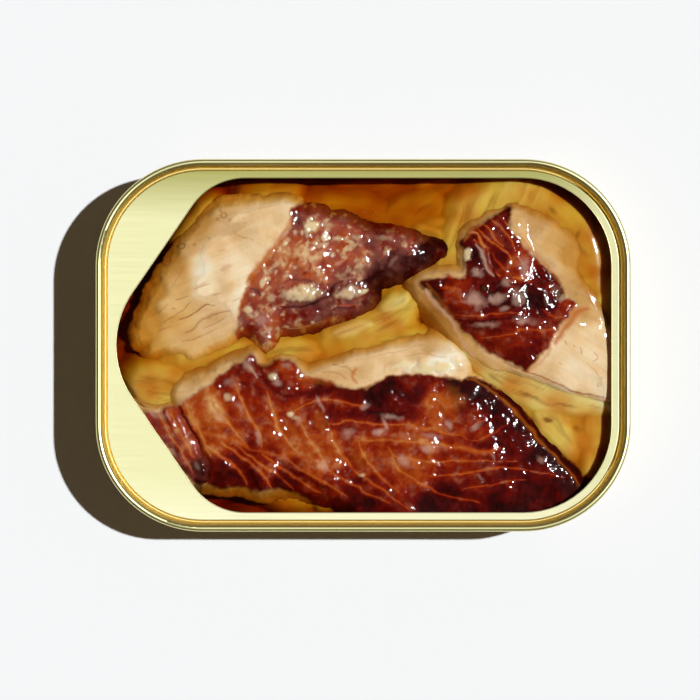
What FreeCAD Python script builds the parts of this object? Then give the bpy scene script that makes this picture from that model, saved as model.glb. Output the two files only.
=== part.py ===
import FreeCAD, Part
import math
import os

Vector = FreeCAD.Vector
upward = Vector(0, 0, 1)

# An opened tin of smoked salmon in oil. All sizes are in millimetres. The origin is at the
# middle of the base, on the surface that the tin stands on; +X runs along the tin.

# Tin, measured over its seamed rim
tinLength = 108.0
tinWidth = 75.2
tinHeight = 24.0
cornerRadius = 21.6

# Drawn body. The wall leans in by the taper from the seam to the base.
bodyMetal = 0.3
wallTaper = 0.6
baseRadius = 2.6
beadInset = 6.6
beadWidth = 2.2
beadHeight = 0.6
beadRadius = 0.3

# Double seam and lid. The depths are measured down from the top of the rim.
lidMetal = 0.3
seamThickness = 1.3
seamHeight = 3.0
seamTopRadius = 0.62
seamHemRadius = 0.35
hookDepth = 0.8
chuckSlope = 0.45
chuckBendDepth = 1.0
chuckBendRadius = 0.8
countersinkDepth = 2.5
countersinkWidth = 0.3
countersinkRadius = 0.12
panelDepth = 1.6
panelRiseRun = 0.25

# Opening torn in the lid: an even ledge on three sides and a blunt point at the left
ledgeWidth = 2.0
pointGap = 4.0
pointHalfAngle = 55.5
pointRadius = 18.7
shoulderRadius = 13.1

# Oil, measured down from the top of the rim
oilDepth = 4.2

# Fish. Each outline goes round its piece in hundredths of the half length and half width of the
# room inside the wall, so the pieces stay packed in any tin. The lifts are how far a piece
# stands out of the oil at its edge and along its middle, and the shoulder is how wide the
# rounding between them is.
fishPieces = {
    "fillet_upper": {
        "outline": [
            (-87, 8), (-81, 30), (-72, 53), (-64, 68), (-53, 76), (-38, 78), (-23, 74), (-9, 70),
            (4, 64), (15, 61), (25, 55), (29, 51), (23, 46), (11, 38), (3, 30), (-4, 20),
            (-17, 13), (-31, 7), (-38, 4), (-46, 10), (-54, 2), (-66, -4), (-76, -1)],
        "edgeLift": 0.3, "middleLift": 1.2, "shoulder": 7.0},
    "fillet_right": {
        "outline": [
            (38, 62), (47, 72), (61, 75), (72, 65), (79, 51), (82, 35), (90, 14), (101, 0),
            (101, -30), (96, -37), (83, -36), (68, -34), (58, -28), (45, -13), (35, 2), (25, 20),
            (19, 33), (25, 40), (37, 42)],
        "edgeLift": 0.35, "middleLift": 1.4, "shoulder": 8.0},
    "fillet_lower": {
        "outline": [
            (-68, -36), (-58, -21), (-46, -8), (-38, -16), (-29, -10), (-20, -15), (-8, -9),
            (10, -3), (28, 0), (38, -6), (42, -19), (49, -26), (57, -37), (66, -51), (74, -65),
            (84, -82), (70, -103), (30, -103), (0, -101), (-16, -92), (-38, -81), (-60, -76),
            (-63, -64), (-68, -48)],
        "edgeLift": 0.3, "middleLift": 1.3, "shoulder": 9.0},
    "loose_flake": {
        "outline": [
            (-89, -30), (-80, -35), (-72, -36), (-71, -48), (-66, -64), (-62, -78), (-70, -86),
            (-88, -80), (-96, -60), (-97, -40)],
        "edgeLift": 0.2, "middleLift": 0.8, "shoulder": 4.0},
}
crownPitch = 4.0
borderSteps = 160

# Heights and places that follow from the sizes above
hookInset = seamThickness - lidMetal - bodyMetal
hookTop = tinHeight - hookDepth
wallInset = hookInset + bodyMetal
seamBottom = tinHeight - seamHeight
panelTop = tinHeight - panelDepth
panelBottom = panelTop - lidMetal
countersink = tinHeight - countersinkDepth
panelRise = countersinkDepth - panelDepth
chuckFoot = seamThickness + chuckSlope
riseFoot = chuckFoot + countersinkWidth
ledgeStart = riseFoot + panelRiseRun + 2 * lidMetal
openingInset = chuckFoot + ledgeWidth
oilLevel = tinHeight - oilDepth
roomHalfLength = tinLength / 2 - wallInset
roomHalfWidth = tinWidth / 2 - wallInset


def roundedWire(corners, place):
    # Straight sides joined by tangent arcs. A corner is (u, v, radius); place makes it a point.
    points = [Vector(u, v, 0) for u, v, radius in corners]
    joints = []
    for index, corner in enumerate(points):
        radius = corners[index][2]
        before = (points[index - 1] - corner).normalize()
        after = (points[(index + 1) % len(points)] - corner).normalize()
        half = before.getAngle(after) / 2
        bisector = (before + after).normalize()
        reach = radius / math.tan(half)
        middle = corner + bisector * (radius / math.sin(half) - radius)
        joints.append((corner + before * reach, middle, corner + after * reach))
    edges = []
    for index, (start, middle, end) in enumerate(joints):
        following = joints[(index + 1) % len(joints)][0]
        if corners[index][2] > 0:
            edges.append(Part.Arc(place(start), place(middle), place(end)).toShape())
        edges.append(Part.LineSegment(place(end), place(following)).toShape())
    return Part.Wire(edges)


def plate(corners, bottom, top):
    def place(point):
        return Vector(point.x, point.y, bottom)

    return Part.Face(roundedWire(corners, place)).extrude(upward * (top - bottom))


def rimCorners(inset):
    # The rim's rounded rectangle, drawn in by an inset
    across = tinLength / 2 - inset
    up = tinWidth / 2 - inset
    radius = cornerRadius - inset
    return [(across, -up, radius), (across, up, radius), (-across, up, radius), (-across, -up, radius)]


def sweptRound(section):
    # Carries a section of (inset, height, radius) corners once round the rim.
    def place(point):
        return Vector(cornerRadius - point.x, 0, point.y)

    face = Part.Face(roundedWire(section, place))
    across = tinLength / 2 - cornerRadius
    up = tinWidth / 2 - cornerRadius
    pieces = []
    for turn, (signX, signY) in enumerate([(1, 1), (-1, 1), (-1, -1), (1, -1)]):
        run = (up, across)[turn % 2]
        bend = face.revolve(Vector(0, 0, 0), upward, 90)
        side = face.extrude(Vector(0, -2 * run, 0))
        for piece in (bend, side):
            piece.rotate(Vector(0, 0, 0), upward, 90 * turn)
            piece.translate(Vector(signX * across, signY * up, 0))
            pieces.append(piece)
    return pieces[0].multiFuse(pieces[1:])


def canBody():
    # The wall stands straight inside the seam, leans in below it and turns into a beaded base.
    footInset = hookInset + wallTaper
    plateInset = beadInset + beadWidth + 2 * beadHeight
    bead = [(beadInset, 0), (beadInset + beadHeight, beadHeight),
            (beadInset + beadWidth - beadHeight, beadHeight), (beadInset + beadWidth, 0)]
    shift = bodyMetal * math.tan(math.pi / 8)
    shifts = [-shift, -shift, shift, shift]
    outside = [(hookInset, hookTop, 0), (hookInset, seamBottom, 0), (footInset, 0, baseRadius)]
    outside += [(inset, height, beadRadius) for inset, height in bead]
    outside += [(plateInset, 0, 0)]
    inside = [(wallInset, hookTop, 0), (wallInset, seamBottom, 0),
              (footInset + bodyMetal, bodyMetal, baseRadius - bodyMetal)]
    inside += [(inset + shift, height + bodyMetal, beadRadius)
               for (inset, height), shift in zip(bead, shifts)]
    inside += [(plateInset, bodyMetal, 0)]
    wall = sweptRound(outside + inside[::-1])
    return wall.fuse(plate(rimCorners(plateInset), 0, bodyMetal)).removeSplitter()


def openingCorners():
    # Three sides keep the even ledge; two slanting sides close the left end.
    half = math.radians(pointHalfAngle)
    across = tinLength / 2 - openingInset
    up = tinWidth / 2 - openingInset
    radius = cornerRadius - openingInset
    pointX = pointGap - tinLength / 2 - pointRadius * (1 / math.sin(half) - 1)
    shoulderX = pointX + up / math.tan(half)
    return [(across, -up, radius), (across, up, radius), (shoulderX, up, shoulderRadius),
            (pointX, 0, pointRadius), (shoulderX, -up, shoulderRadius)]


def lidRing():
    # The seam is a solid roll with a slot for the body's edge. Inside it the chuck wall drops to
    # a narrow countersink, from which the ledge and the rest of the lid's panel rise.
    chuckBend = tinHeight - chuckBendDepth
    slant = math.hypot(panelRiseRun, panelRise)
    under = riseFoot + lidMetal * (slant - panelRiseRun) / panelRise
    section = [
        (0, seamBottom, seamHemRadius), (0, tinHeight, seamTopRadius),
        (seamThickness, tinHeight, seamTopRadius), (seamThickness, chuckBend, chuckBendRadius),
        (chuckFoot, countersink, countersinkRadius), (riseFoot, countersink, countersinkRadius),
        (riseFoot + panelRiseRun, panelTop, countersinkRadius), (ledgeStart, panelTop, 0),
        (ledgeStart, panelBottom, 0), (under + panelRiseRun, panelBottom, 0),
        (under, countersink - lidMetal, 0), (chuckFoot - lidMetal, countersink - lidMetal, lidMetal),
        (wallInset, seamBottom, 0), (wallInset, hookTop, 0), (hookInset, hookTop, 0),
        (hookInset, seamBottom, 0)]
    panel = plate(rimCorners(ledgeStart), panelBottom, panelTop)
    opening = plate(openingCorners(), panelBottom - lidMetal, panelTop + lidMetal)
    return sweptRound(section).fuse(panel.cut(opening)).removeSplitter()


def roomBelow(level, body):
    # Everything inside the body up to a level
    solids = plate(rimCorners(0), 0, level).cut(body).Solids
    middle = Vector(0, 0, level / 2)
    return [solid for solid in solids if solid.isInside(middle, 1e-6, True)][0]


def outlineOf(piece):
    # A smooth closed line through the piece's points, with one edge from each to the next
    points = [Vector(across / 100 * roomHalfLength, up / 100 * roomHalfWidth, 0)
              for across, up in piece["outline"]]
    curve = Part.BSplineCurve()
    curve.interpolate(points, PeriodicFlag=True)
    knots = curve.getKnots()
    return Part.Wire([curve.toShape(start, end) for start, end in zip(knots, knots[1:])])


def crownOver(outline, piece):
    # A solid under the piece's top, which rises from the outline to the middle.
    border = outline.discretize(Number=borderSteps)
    inside = Part.Face(outline)
    climb = piece["middleLift"] - piece["edgeLift"]

    def topAt(x, y):
        reach = 0
        if inside.isInside(Vector(x, y, 0), 1e-6, True):
            reach = min(math.hypot(x - point.x, y - point.y) for point in border)
        share = min(reach / piece["shoulder"], 1)
        return oilLevel + piece["edgeLift"] + climb * math.sin(share * math.pi / 2)

    box = inside.BoundBox
    columns = math.ceil(box.XLength / crownPitch) + 1
    rows = math.ceil(box.YLength / crownPitch) + 1
    xs = [box.XMin + column * crownPitch for column in range(columns)]
    ys = [box.YMin + row * crownPitch for row in range(rows)]
    surface = Part.BSplineSurface()
    surface.interpolate([[Vector(x, y, topAt(x, y)) for y in ys] for x in xs])
    return surface.toShape().extrude(upward * -tinHeight)


def fishPiece(piece, room):
    outline = outlineOf(piece)
    prism = Part.Face(outline).extrude(upward * tinHeight)
    return prism.common(crownOver(outline, piece)).common(room).Solids[0]


body = canBody()
room = roomBelow(panelBottom, body)
fish = {name: fishPiece(piece, room) for name, piece in fishPieces.items()}
oil = roomBelow(oilLevel, body).cut(list(fish.values()))
nodes = {"can_body": body, "lid_ring": lidRing(), **fish, "oil": oil}

os.makedirs("parts", exist_ok=True)
for name, shape in nodes.items():
    shape.exportStep("parts/" + name + ".step")
    print(name, len(shape.Solids), "solid,", round(shape.Volume), "cubic millimetres, valid", shape.isValid())
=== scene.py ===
import math

import bmesh
import bpy
import numpy as np
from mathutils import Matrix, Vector


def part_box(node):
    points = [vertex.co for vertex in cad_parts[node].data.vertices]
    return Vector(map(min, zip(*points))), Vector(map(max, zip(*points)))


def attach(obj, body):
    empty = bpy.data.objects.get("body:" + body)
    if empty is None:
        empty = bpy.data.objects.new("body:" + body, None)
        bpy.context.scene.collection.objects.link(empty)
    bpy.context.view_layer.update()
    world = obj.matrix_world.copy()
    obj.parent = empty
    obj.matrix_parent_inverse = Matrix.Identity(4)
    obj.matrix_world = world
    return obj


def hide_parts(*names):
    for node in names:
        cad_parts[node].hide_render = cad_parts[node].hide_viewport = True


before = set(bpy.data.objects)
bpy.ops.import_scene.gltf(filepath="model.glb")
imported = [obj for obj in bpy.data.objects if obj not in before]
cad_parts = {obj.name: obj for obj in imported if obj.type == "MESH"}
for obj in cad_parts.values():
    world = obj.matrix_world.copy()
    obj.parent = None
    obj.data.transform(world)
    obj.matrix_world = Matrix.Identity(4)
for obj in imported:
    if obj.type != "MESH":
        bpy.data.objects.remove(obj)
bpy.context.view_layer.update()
print("frame loaded")

mm = 0.001


def farCorner(node):
    # the right, back and upper side of a CAD node's box, in millimetres
    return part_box(node)[1] / mm


# The tin in millimetres: its main places come from the frame, its radii and insets are typed
lidHigh = farCorner("lid_ring")
oilHigh = farCorner("oil")
tin = {
    "halfLength": lidHigh.x,
    "halfWidth": lidHigh.y,
    "rimTop": lidHigh.z,
    "cornerRadius": 21.6,
    "panelTop": lidHigh.z - 1.6,
    "oilLevel": oilHigh.z,
    "roomInset": lidHigh.x - oilHigh.x,
    "wallTaper": 0.6,
    "openingInset": 3.75,
    "pointGap": 4.0,
    "pointHalfAngle": 55.5,
    "pointRadius": 18.7,
    "shoulderRadius": 13.1,
    "deepest": 3.0,
}


def smoothStep(low, high, value):
    share = np.clip((value - low) / (high - low), 0, 1)
    return share * share * (3 - 2 * share)


def latticeValue(column, row, seed):
    # a repeatable number from 0 to 1 for each whole-number place
    mixed = (column * 374761393 + row * 668265263 + seed * 974711) & 0xFFFFFFFF
    mixed = ((mixed ^ (mixed >> 13)) * 1274126177) & 0xFFFFFFFF
    return ((mixed ^ (mixed >> 16)) & 0xFFFFFF) / 0xFFFFFF


def noise(x, y, size, seed, octaves=1):
    # soft lumps about one size across, from -1 to 1; each octave is turned and half as large
    total = 0
    weight = 1
    for octave in range(octaves):
        turn = 0.7 + 1.9 * octave
        u = (x * math.cos(turn) - y * math.sin(turn)) / size
        v = (x * math.sin(turn) + y * math.cos(turn)) / size
        column = np.floor(u).astype(np.int64)
        row = np.floor(v).astype(np.int64)
        fu = u - column
        fv = v - row
        fu = fu * fu * fu * (fu * (fu * 6 - 15) + 10)
        fv = fv * fv * fv * (fv * (fv * 6 - 15) + 10)
        sides = [latticeValue(column, row + up, seed) * (1 - fu)
                 + latticeValue(column + 1, row + up, seed) * fu for up in (0, 1)]
        total = total + weight * (2 * (sides[0] * (1 - fv) + sides[1] * fv) - 1)
        weight *= 0.5
        size *= 0.5
        seed += 11
    return total / (2 - 2 * weight)


def fibres(x, y, angle, length, width, seed):
    # streaks that run at an angle in degrees
    turn = math.radians(angle)
    along = x * math.cos(turn) + y * math.sin(turn)
    across = y * math.cos(turn) - x * math.sin(turn)
    return noise(along * width / length, across, width, seed, 2)


def curveThrough(points, closed, steps=5):
    # a smooth line through a few chosen points
    points = np.array(points, float)
    count = len(points)
    spans = count if closed else count - 1
    line = []
    for span in range(spans):
        if closed:
            four = [points[(span + offset) % count] for offset in (-1, 0, 1, 2)]
        else:
            four = [points[min(max(span + offset, 0), count - 1)] for offset in (-1, 0, 1, 2)]
        before, start, end, after = four
        for step in range(steps):
            t = step / steps
            line.append(0.5 * (2 * start + (end - before) * t
                               + (2 * before - 5 * start + 4 * end - after) * t * t
                               + (3 * start - before - 3 * end + after) * t ** 3))
    line.append(line[0] if closed else points[-1])
    return np.array(line)


def lineReach(x, y, line, far=9.0):
    # distance to a line, and how far along it the nearest place is, from 0 to 1
    best = np.full(x.shape, far)
    place = np.zeros(x.shape)
    low = line.min(0) - far
    high = line.max(0) + far
    near = (x > low[0]) & (x < high[0]) & (y > low[1]) & (y < high[1])
    u = x[near]
    v = y[near]
    closest = np.full(u.shape, far)
    along = np.zeros(u.shape)
    for index, (start, end) in enumerate(zip(line, line[1:])):
        step = end - start
        share = ((u - start[0]) * step[0] + (v - start[1]) * step[1]) / max(step @ step, 1e-9)
        share = np.clip(share, 0, 1)
        distance = np.hypot(u - start[0] - share * step[0], v - start[1] - share * step[1])
        nearer = distance < closest
        closest = np.where(nearer, distance, closest)
        along = np.where(nearer, (index + share) / (len(line) - 1), along)
    best[near] = closest
    place[near] = along
    return best, place


def insideReach(x, y, line):
    # distance inside a closed line, less than 0 outside it
    distance = lineReach(x, y, line)[0]
    inside = np.zeros(x.shape, bool)
    for start, end in zip(line, line[1:]):
        if start[1] == end[1]:
            continue
        crosses = (start[1] > y) != (end[1] > y)
        reachX = start[0] + (y - start[1]) * (end[0] - start[0]) / (end[1] - start[1])
        inside ^= crosses & (x < reachX)
    return np.where(inside, distance, -distance)


def blendPlaces(x, y, places):
    # a soft field through values chosen at a few places: (x, y, value)
    weights = 0
    total = 0
    for placeX, placeY, value in places:
        weight = 1 / ((x - placeX) ** 2 + (y - placeY) ** 2 + 1.0) ** 2
        weights = weights + weight
        total = total + weight * value
    return total / weights


def ovalShare(x, y, oval):
    # 1 in the middle of a turned oval (x, y, half length, half width, angle), 0 on its edge
    acrossX, acrossY = x - oval[0], y - oval[1]
    turn = math.radians(oval[4])
    u = (acrossX * math.cos(turn) + acrossY * math.sin(turn)) / oval[2]
    v = (acrossY * math.cos(turn) - acrossX * math.sin(turn)) / oval[3]
    return 1 - np.hypot(u, v)


def roomReach(x, y, inset):
    # distance inside the tin's rounded rectangle once it is drawn in by an inset
    radius = tin["cornerRadius"] - inset
    overX = np.abs(x) - (tin["halfLength"] - inset - radius)
    overY = np.abs(y) - (tin["halfWidth"] - inset - radius)
    outside = np.hypot(np.maximum(overX, 0), np.maximum(overY, 0))
    return radius - outside - np.minimum(np.maximum(overX, overY), 0)


def slideTo(reach, x, y, target, only=None):
    # moves places along a reach field until they lie at the target reach
    step = 0.05
    for turn in range(3):
        here = reach(x, y)
        slopeX = (reach(x + step, y) - reach(x - step, y)) / (2 * step)
        slopeY = (reach(x, y + step) - reach(x, y - step)) / (2 * step)
        length = np.maximum(np.hypot(slopeX, slopeY), 0.3)
        move = np.clip((target - here) / length, -0.4, 0.4)
        if only == "shallower":
            move = np.maximum(move, 0)
        x = x + move * slopeX / length
        y = y + move * slopeY / length
    return x, y


def coordsOf(mesh):
    flat = np.empty(len(mesh.vertices) * 3, np.float32)
    mesh.vertices.foreach_get("co", flat)
    return flat.reshape(-1, 3).astype(float) / mm


def setCoords(mesh, coords):
    mesh.vertices.foreach_set("co", (coords * mm).astype(np.float32).ravel())
    mesh.update()


def newObject(name, mesh, material):
    mesh.name = name
    mesh.materials.append(material)
    mesh.shade_smooth()
    piece = bpy.data.objects.new(name, mesh)
    bpy.context.scene.collection.objects.link(piece)
    return piece


def reliefPiece(name, low, high, pitch, keep, surface, floorHeight, material):
    # A closed block with a shaped top: a grid trimmed to where keep is over 0, raised to its
    # surface, then drawn down to a floor just inside the tin's leaning wall.
    columns = int((high[0] - low[0]) / pitch)
    rows = int((high[1] - low[1]) / pitch)
    bm = bmesh.new()
    bmesh.ops.create_grid(bm, x_segments=columns, y_segments=rows, size=0.5)
    bmesh.ops.translate(bm, verts=bm.verts, vec=Vector((0.5, 0.5, 0)))
    bmesh.ops.scale(bm, verts=bm.verts, vec=Vector((high[0] - low[0], high[1] - low[1], 1)) * mm)
    bmesh.ops.translate(bm, verts=bm.verts, vec=Vector((low[0], low[1], 0)) * mm)
    mesh = bpy.data.meshes.new(name)
    bm.to_mesh(mesh)
    coords = coordsOf(mesh)
    kept = keep(coords[:, 0], coords[:, 1]) > 0
    bm.verts.ensure_lookup_table()
    outside = [vert for vert, stays in zip(bm.verts, kept) if not stays]
    bmesh.ops.delete(bm, geom=outside, context="VERTS")
    loose = [vert for vert in bm.verts if not vert.link_faces]
    bmesh.ops.delete(bm, geom=loose, context="VERTS")
    bm.verts.index_update()
    bm.to_mesh(mesh)
    coords = coordsOf(mesh)
    rim = np.array([vert.is_boundary for vert in bm.verts])
    x, y = slideTo(keep, coords[rim, 0], coords[rim, 1], 0)
    coords[rim, 0] = x
    coords[rim, 1] = y
    coords[:, 2], masks = surface(coords[:, 0], coords[:, 1])
    setCoords(mesh, coords)
    bm.clear()
    bm.from_mesh(mesh)
    edges = [edge for edge in bm.edges if edge.is_boundary]
    drawn = bmesh.ops.extrude_edge_only(bm, edges=edges)["geom"]
    verts = [item for item in drawn if isinstance(item, bmesh.types.BMVert)]
    x = np.array([vert.co.x / mm for vert in verts])
    y = np.array([vert.co.y / mm for vert in verts])

    def room(u, v):
        return roomReach(u, v, tin["roomInset"])

    x, y = slideTo(room, x, y, tin["wallTaper"], "shallower")
    for vert, across, up in zip(verts, x, y):
        vert.co = Vector((across, up, floorHeight)) * mm
    openEdges = [edge for edge in bm.edges if edge.is_boundary]
    bmesh.ops.holes_fill(bm, edges=openEdges, sides=0)
    bmesh.ops.recalc_face_normals(bm, faces=bm.faces)
    bm.to_mesh(mesh)
    bm.free()
    for mask, values in masks.items():
        layer = mesh.attributes.new(mask, "FLOAT", "POINT")
        hidden = len(mesh.vertices) - len(values)
        layer.data.foreach_set("value", np.append(values, np.zeros(hidden)).astype(np.float32))
    return newObject(name, mesh, material)


def hexColour(text):
    # an sRGB hex colour as linear numbers
    parts = [int(text[start:start + 2], 16) / 255 for start in (1, 3, 5)]
    return [part / 12.92 if part <= 0.04045 else ((part + 0.055) / 1.055) ** 2.4 for part in parts] + [1]


def addNode(tree, kind, settings={}, inputs={}):
    # adds a node; an input given as a socket is linked, any other is set
    node = tree.nodes.new("ShaderNode" + kind)
    for key, value in settings.items():
        if key == "stops":
            fillRamp(node.color_ramp, value)
        else:
            setattr(node, key, value)
    for key, value in inputs.items():
        if isinstance(value, bpy.types.NodeSocket):
            tree.links.new(value, node.inputs[key])
        else:
            node.inputs[key].default_value = value
    return node


def fillRamp(ramp, stops):
    # stops are (place, sRGB hex) or (place, plain level)
    for index, (place, colour) in enumerate(stops):
        stop = ramp.elements[index] if index < 2 else ramp.elements.new(place)
        stop.position = place
        stop.color = hexColour(colour) if isinstance(colour, str) else [colour] * 3 + [1]


def newMaterial(name, settings):
    material = bpy.data.materials.new(name)
    material.use_nodes = True
    tree = material.node_tree
    shader = tree.nodes["Principled BSDF"]
    for key, value in settings.items():
        shader.inputs[key].default_value = value
    return material, tree, shader


# Amber oil dims blue most and red least, so what lies deeper turns gold, orange and dark red.
# Refraction makes what lies deep look raised, so pieces are shaped at their seen depth.
oilColour = {"dimRed": 0.10, "dimGreen": 0.29, "dimBlue": 0.90, "tint": "#4a1c04", "bubble": "#c89a5c",
             "seenDepth": 0.5}


def seenThroughOil(tree, colour):
    # dims a colour by the length of oil above it, in millimetres, kept on the mesh
    path = addNode(tree, "Attribute", {"attribute_name": "oilPath"}).outputs["Fac"]
    shares = {}
    for channel, dim in enumerate(("dimRed", "dimGreen", "dimBlue")):
        loss = addNode(tree, "Math", {"operation": "MULTIPLY"}, {0: path, 1: -oilColour[dim]})
        shares[channel] = addNode(tree, "Math", {"operation": "EXPONENT"}, {0: loss.outputs[0]}).outputs[0]
    light = addNode(tree, "CombineColor", {}, shares).outputs[0]
    return addNode(tree, "Mix", {"data_type": "RGBA", "blend_type": "MULTIPLY"},
                   {0: 1.0, 6: colour, 7: light}).outputs[2]


# Salmon flesh, brined and smoked, lying in oil. Cream flakes; a smoked outside that runs from
# near black through red-brown to tan fat; and a wet film that gives hard glints. Where the film
# pools, its lilac sheen is painted into the colour, and so are some glints along wet edges.
fleshFinish = {
    "pale": [(0.0, "#a8702e"), (0.3, "#cc9c5c"), (0.6, "#ecc896"), (0.8, "#f6dcb4"), (1.0, "#fff0d6")],
    "smoked": [(0.0, "#140000"), (0.18, "#3a0000"), (0.36, "#640600"), (0.54, "#8c1e00"),
               (0.72, "#b04c12"), (0.88, "#ce8a48"), (1.0, "#e6bc88")],
    # glow is a warm orange, partly the flesh's own edge colour and partly painted light glowing through it;
    # the film layer is a milky film with a painted lilac sheen
    "layers": [("glow", "#c0641a"), ("crack", "#a8561c"), ("curd", "#ecd6a4"), ("filmAndPaintedSheen", "#d6ae98")],
    "specksMm": 0.7, "speckShare": 0.12, "specksDetail": 3.0,
    "grainMm": 0.5, "grainDetail": 2.0, "grainStrength": 0.35, "grainDeepMm": 0.08,
    "filmMm": 0.9, "filmDetail": 2.2, "filmDeepMm": 0.24, "filmTurn": 0.5, "filmStretch": (0.45, 1.2, 1),
}


def wetSalmonFlesh():
    look = fleshFinish
    material, tree, shader = newMaterial("wetSalmonFlesh", {
        "Roughness": 0.6, "IOR": 1.4, "Specular IOR Level": 0.05, "Coat Roughness": 0.07, "Coat IOR": 1.5,
        "Subsurface Weight": 0.5, "Subsurface Radius": (1.0, 0.45, 0.2), "Subsurface Scale": 0.9 * mm})
    place = addNode(tree, "TexCoord").outputs["Object"]
    specks = addNode(tree, "TexNoise", {}, {
        "Vector": place, "Scale": 1 / (look["specksMm"] * mm),
        "Detail": look["specksDetail"]}).outputs["Fac"]
    centred = addNode(tree, "Math", {"operation": "SUBTRACT"}, {0: specks, 1: 0.5}).outputs[0]
    tone = addNode(tree, "Attribute", {"attribute_name": "tone"}).outputs["Fac"]
    tone = addNode(tree, "Math", {"operation": "MULTIPLY_ADD"},
                   {0: centred, 1: look["speckShare"], 2: tone}).outputs[0]
    pale = addNode(tree, "ValToRGB", {"stops": look["pale"]}, {0: tone}).outputs[0]
    smoked = addNode(tree, "ValToRGB", {"stops": look["smoked"]}, {0: tone}).outputs[0]
    smoke = addNode(tree, "Attribute", {"attribute_name": "smoke"}).outputs["Fac"]
    colour = addNode(tree, "Mix", {"data_type": "RGBA"}, {0: smoke, 6: pale, 7: smoked}).outputs[2]
    for name, paint in look["layers"]:
        share = addNode(tree, "Attribute", {"attribute_name": name}).outputs["Fac"]
        colour = addNode(tree, "Mix", {"data_type": "RGBA"},
                         {0: share, 6: colour, 7: hexColour(paint)}).outputs[2]
    colour = seenThroughOil(tree, colour)
    tree.links.new(colour, shader.inputs["Base Color"])
    wet = addNode(tree, "Attribute", {"attribute_name": "wet"}).outputs["Fac"]
    tree.links.new(wet, shader.inputs["Coat Weight"])
    grain = addNode(tree, "TexNoise", {}, {
        "Vector": place, "Scale": 1 / (look["grainMm"] * mm),
        "Detail": look["grainDetail"]}).outputs["Fac"]
    bump = addNode(tree, "Bump", {}, {
        "Strength": look["grainStrength"], "Distance": look["grainDeepMm"] * mm, "Height": grain})
    tree.links.new(bump.outputs[0], shader.inputs["Normal"])
    drawnOut = addNode(tree, "Mapping", {}, {
        "Vector": place, "Rotation": (0, 0, look["filmTurn"]), "Scale": look["filmStretch"]}).outputs[0]
    ripple = addNode(tree, "TexNoise", {}, {
        "Vector": drawnOut, "Scale": 1 / (look["filmMm"] * mm),
        "Detail": look["filmDetail"]}).outputs["Fac"]
    sparkle = addNode(tree, "Attribute", {"attribute_name": "sparkle"}).outputs["Fac"]
    skin = addNode(tree, "Bump", {}, {
        "Strength": sparkle, "Distance": look["filmDeepMm"] * mm, "Height": ripple})
    tree.links.new(skin.outputs[0], shader.inputs["Coat Normal"])
    return material
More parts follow.
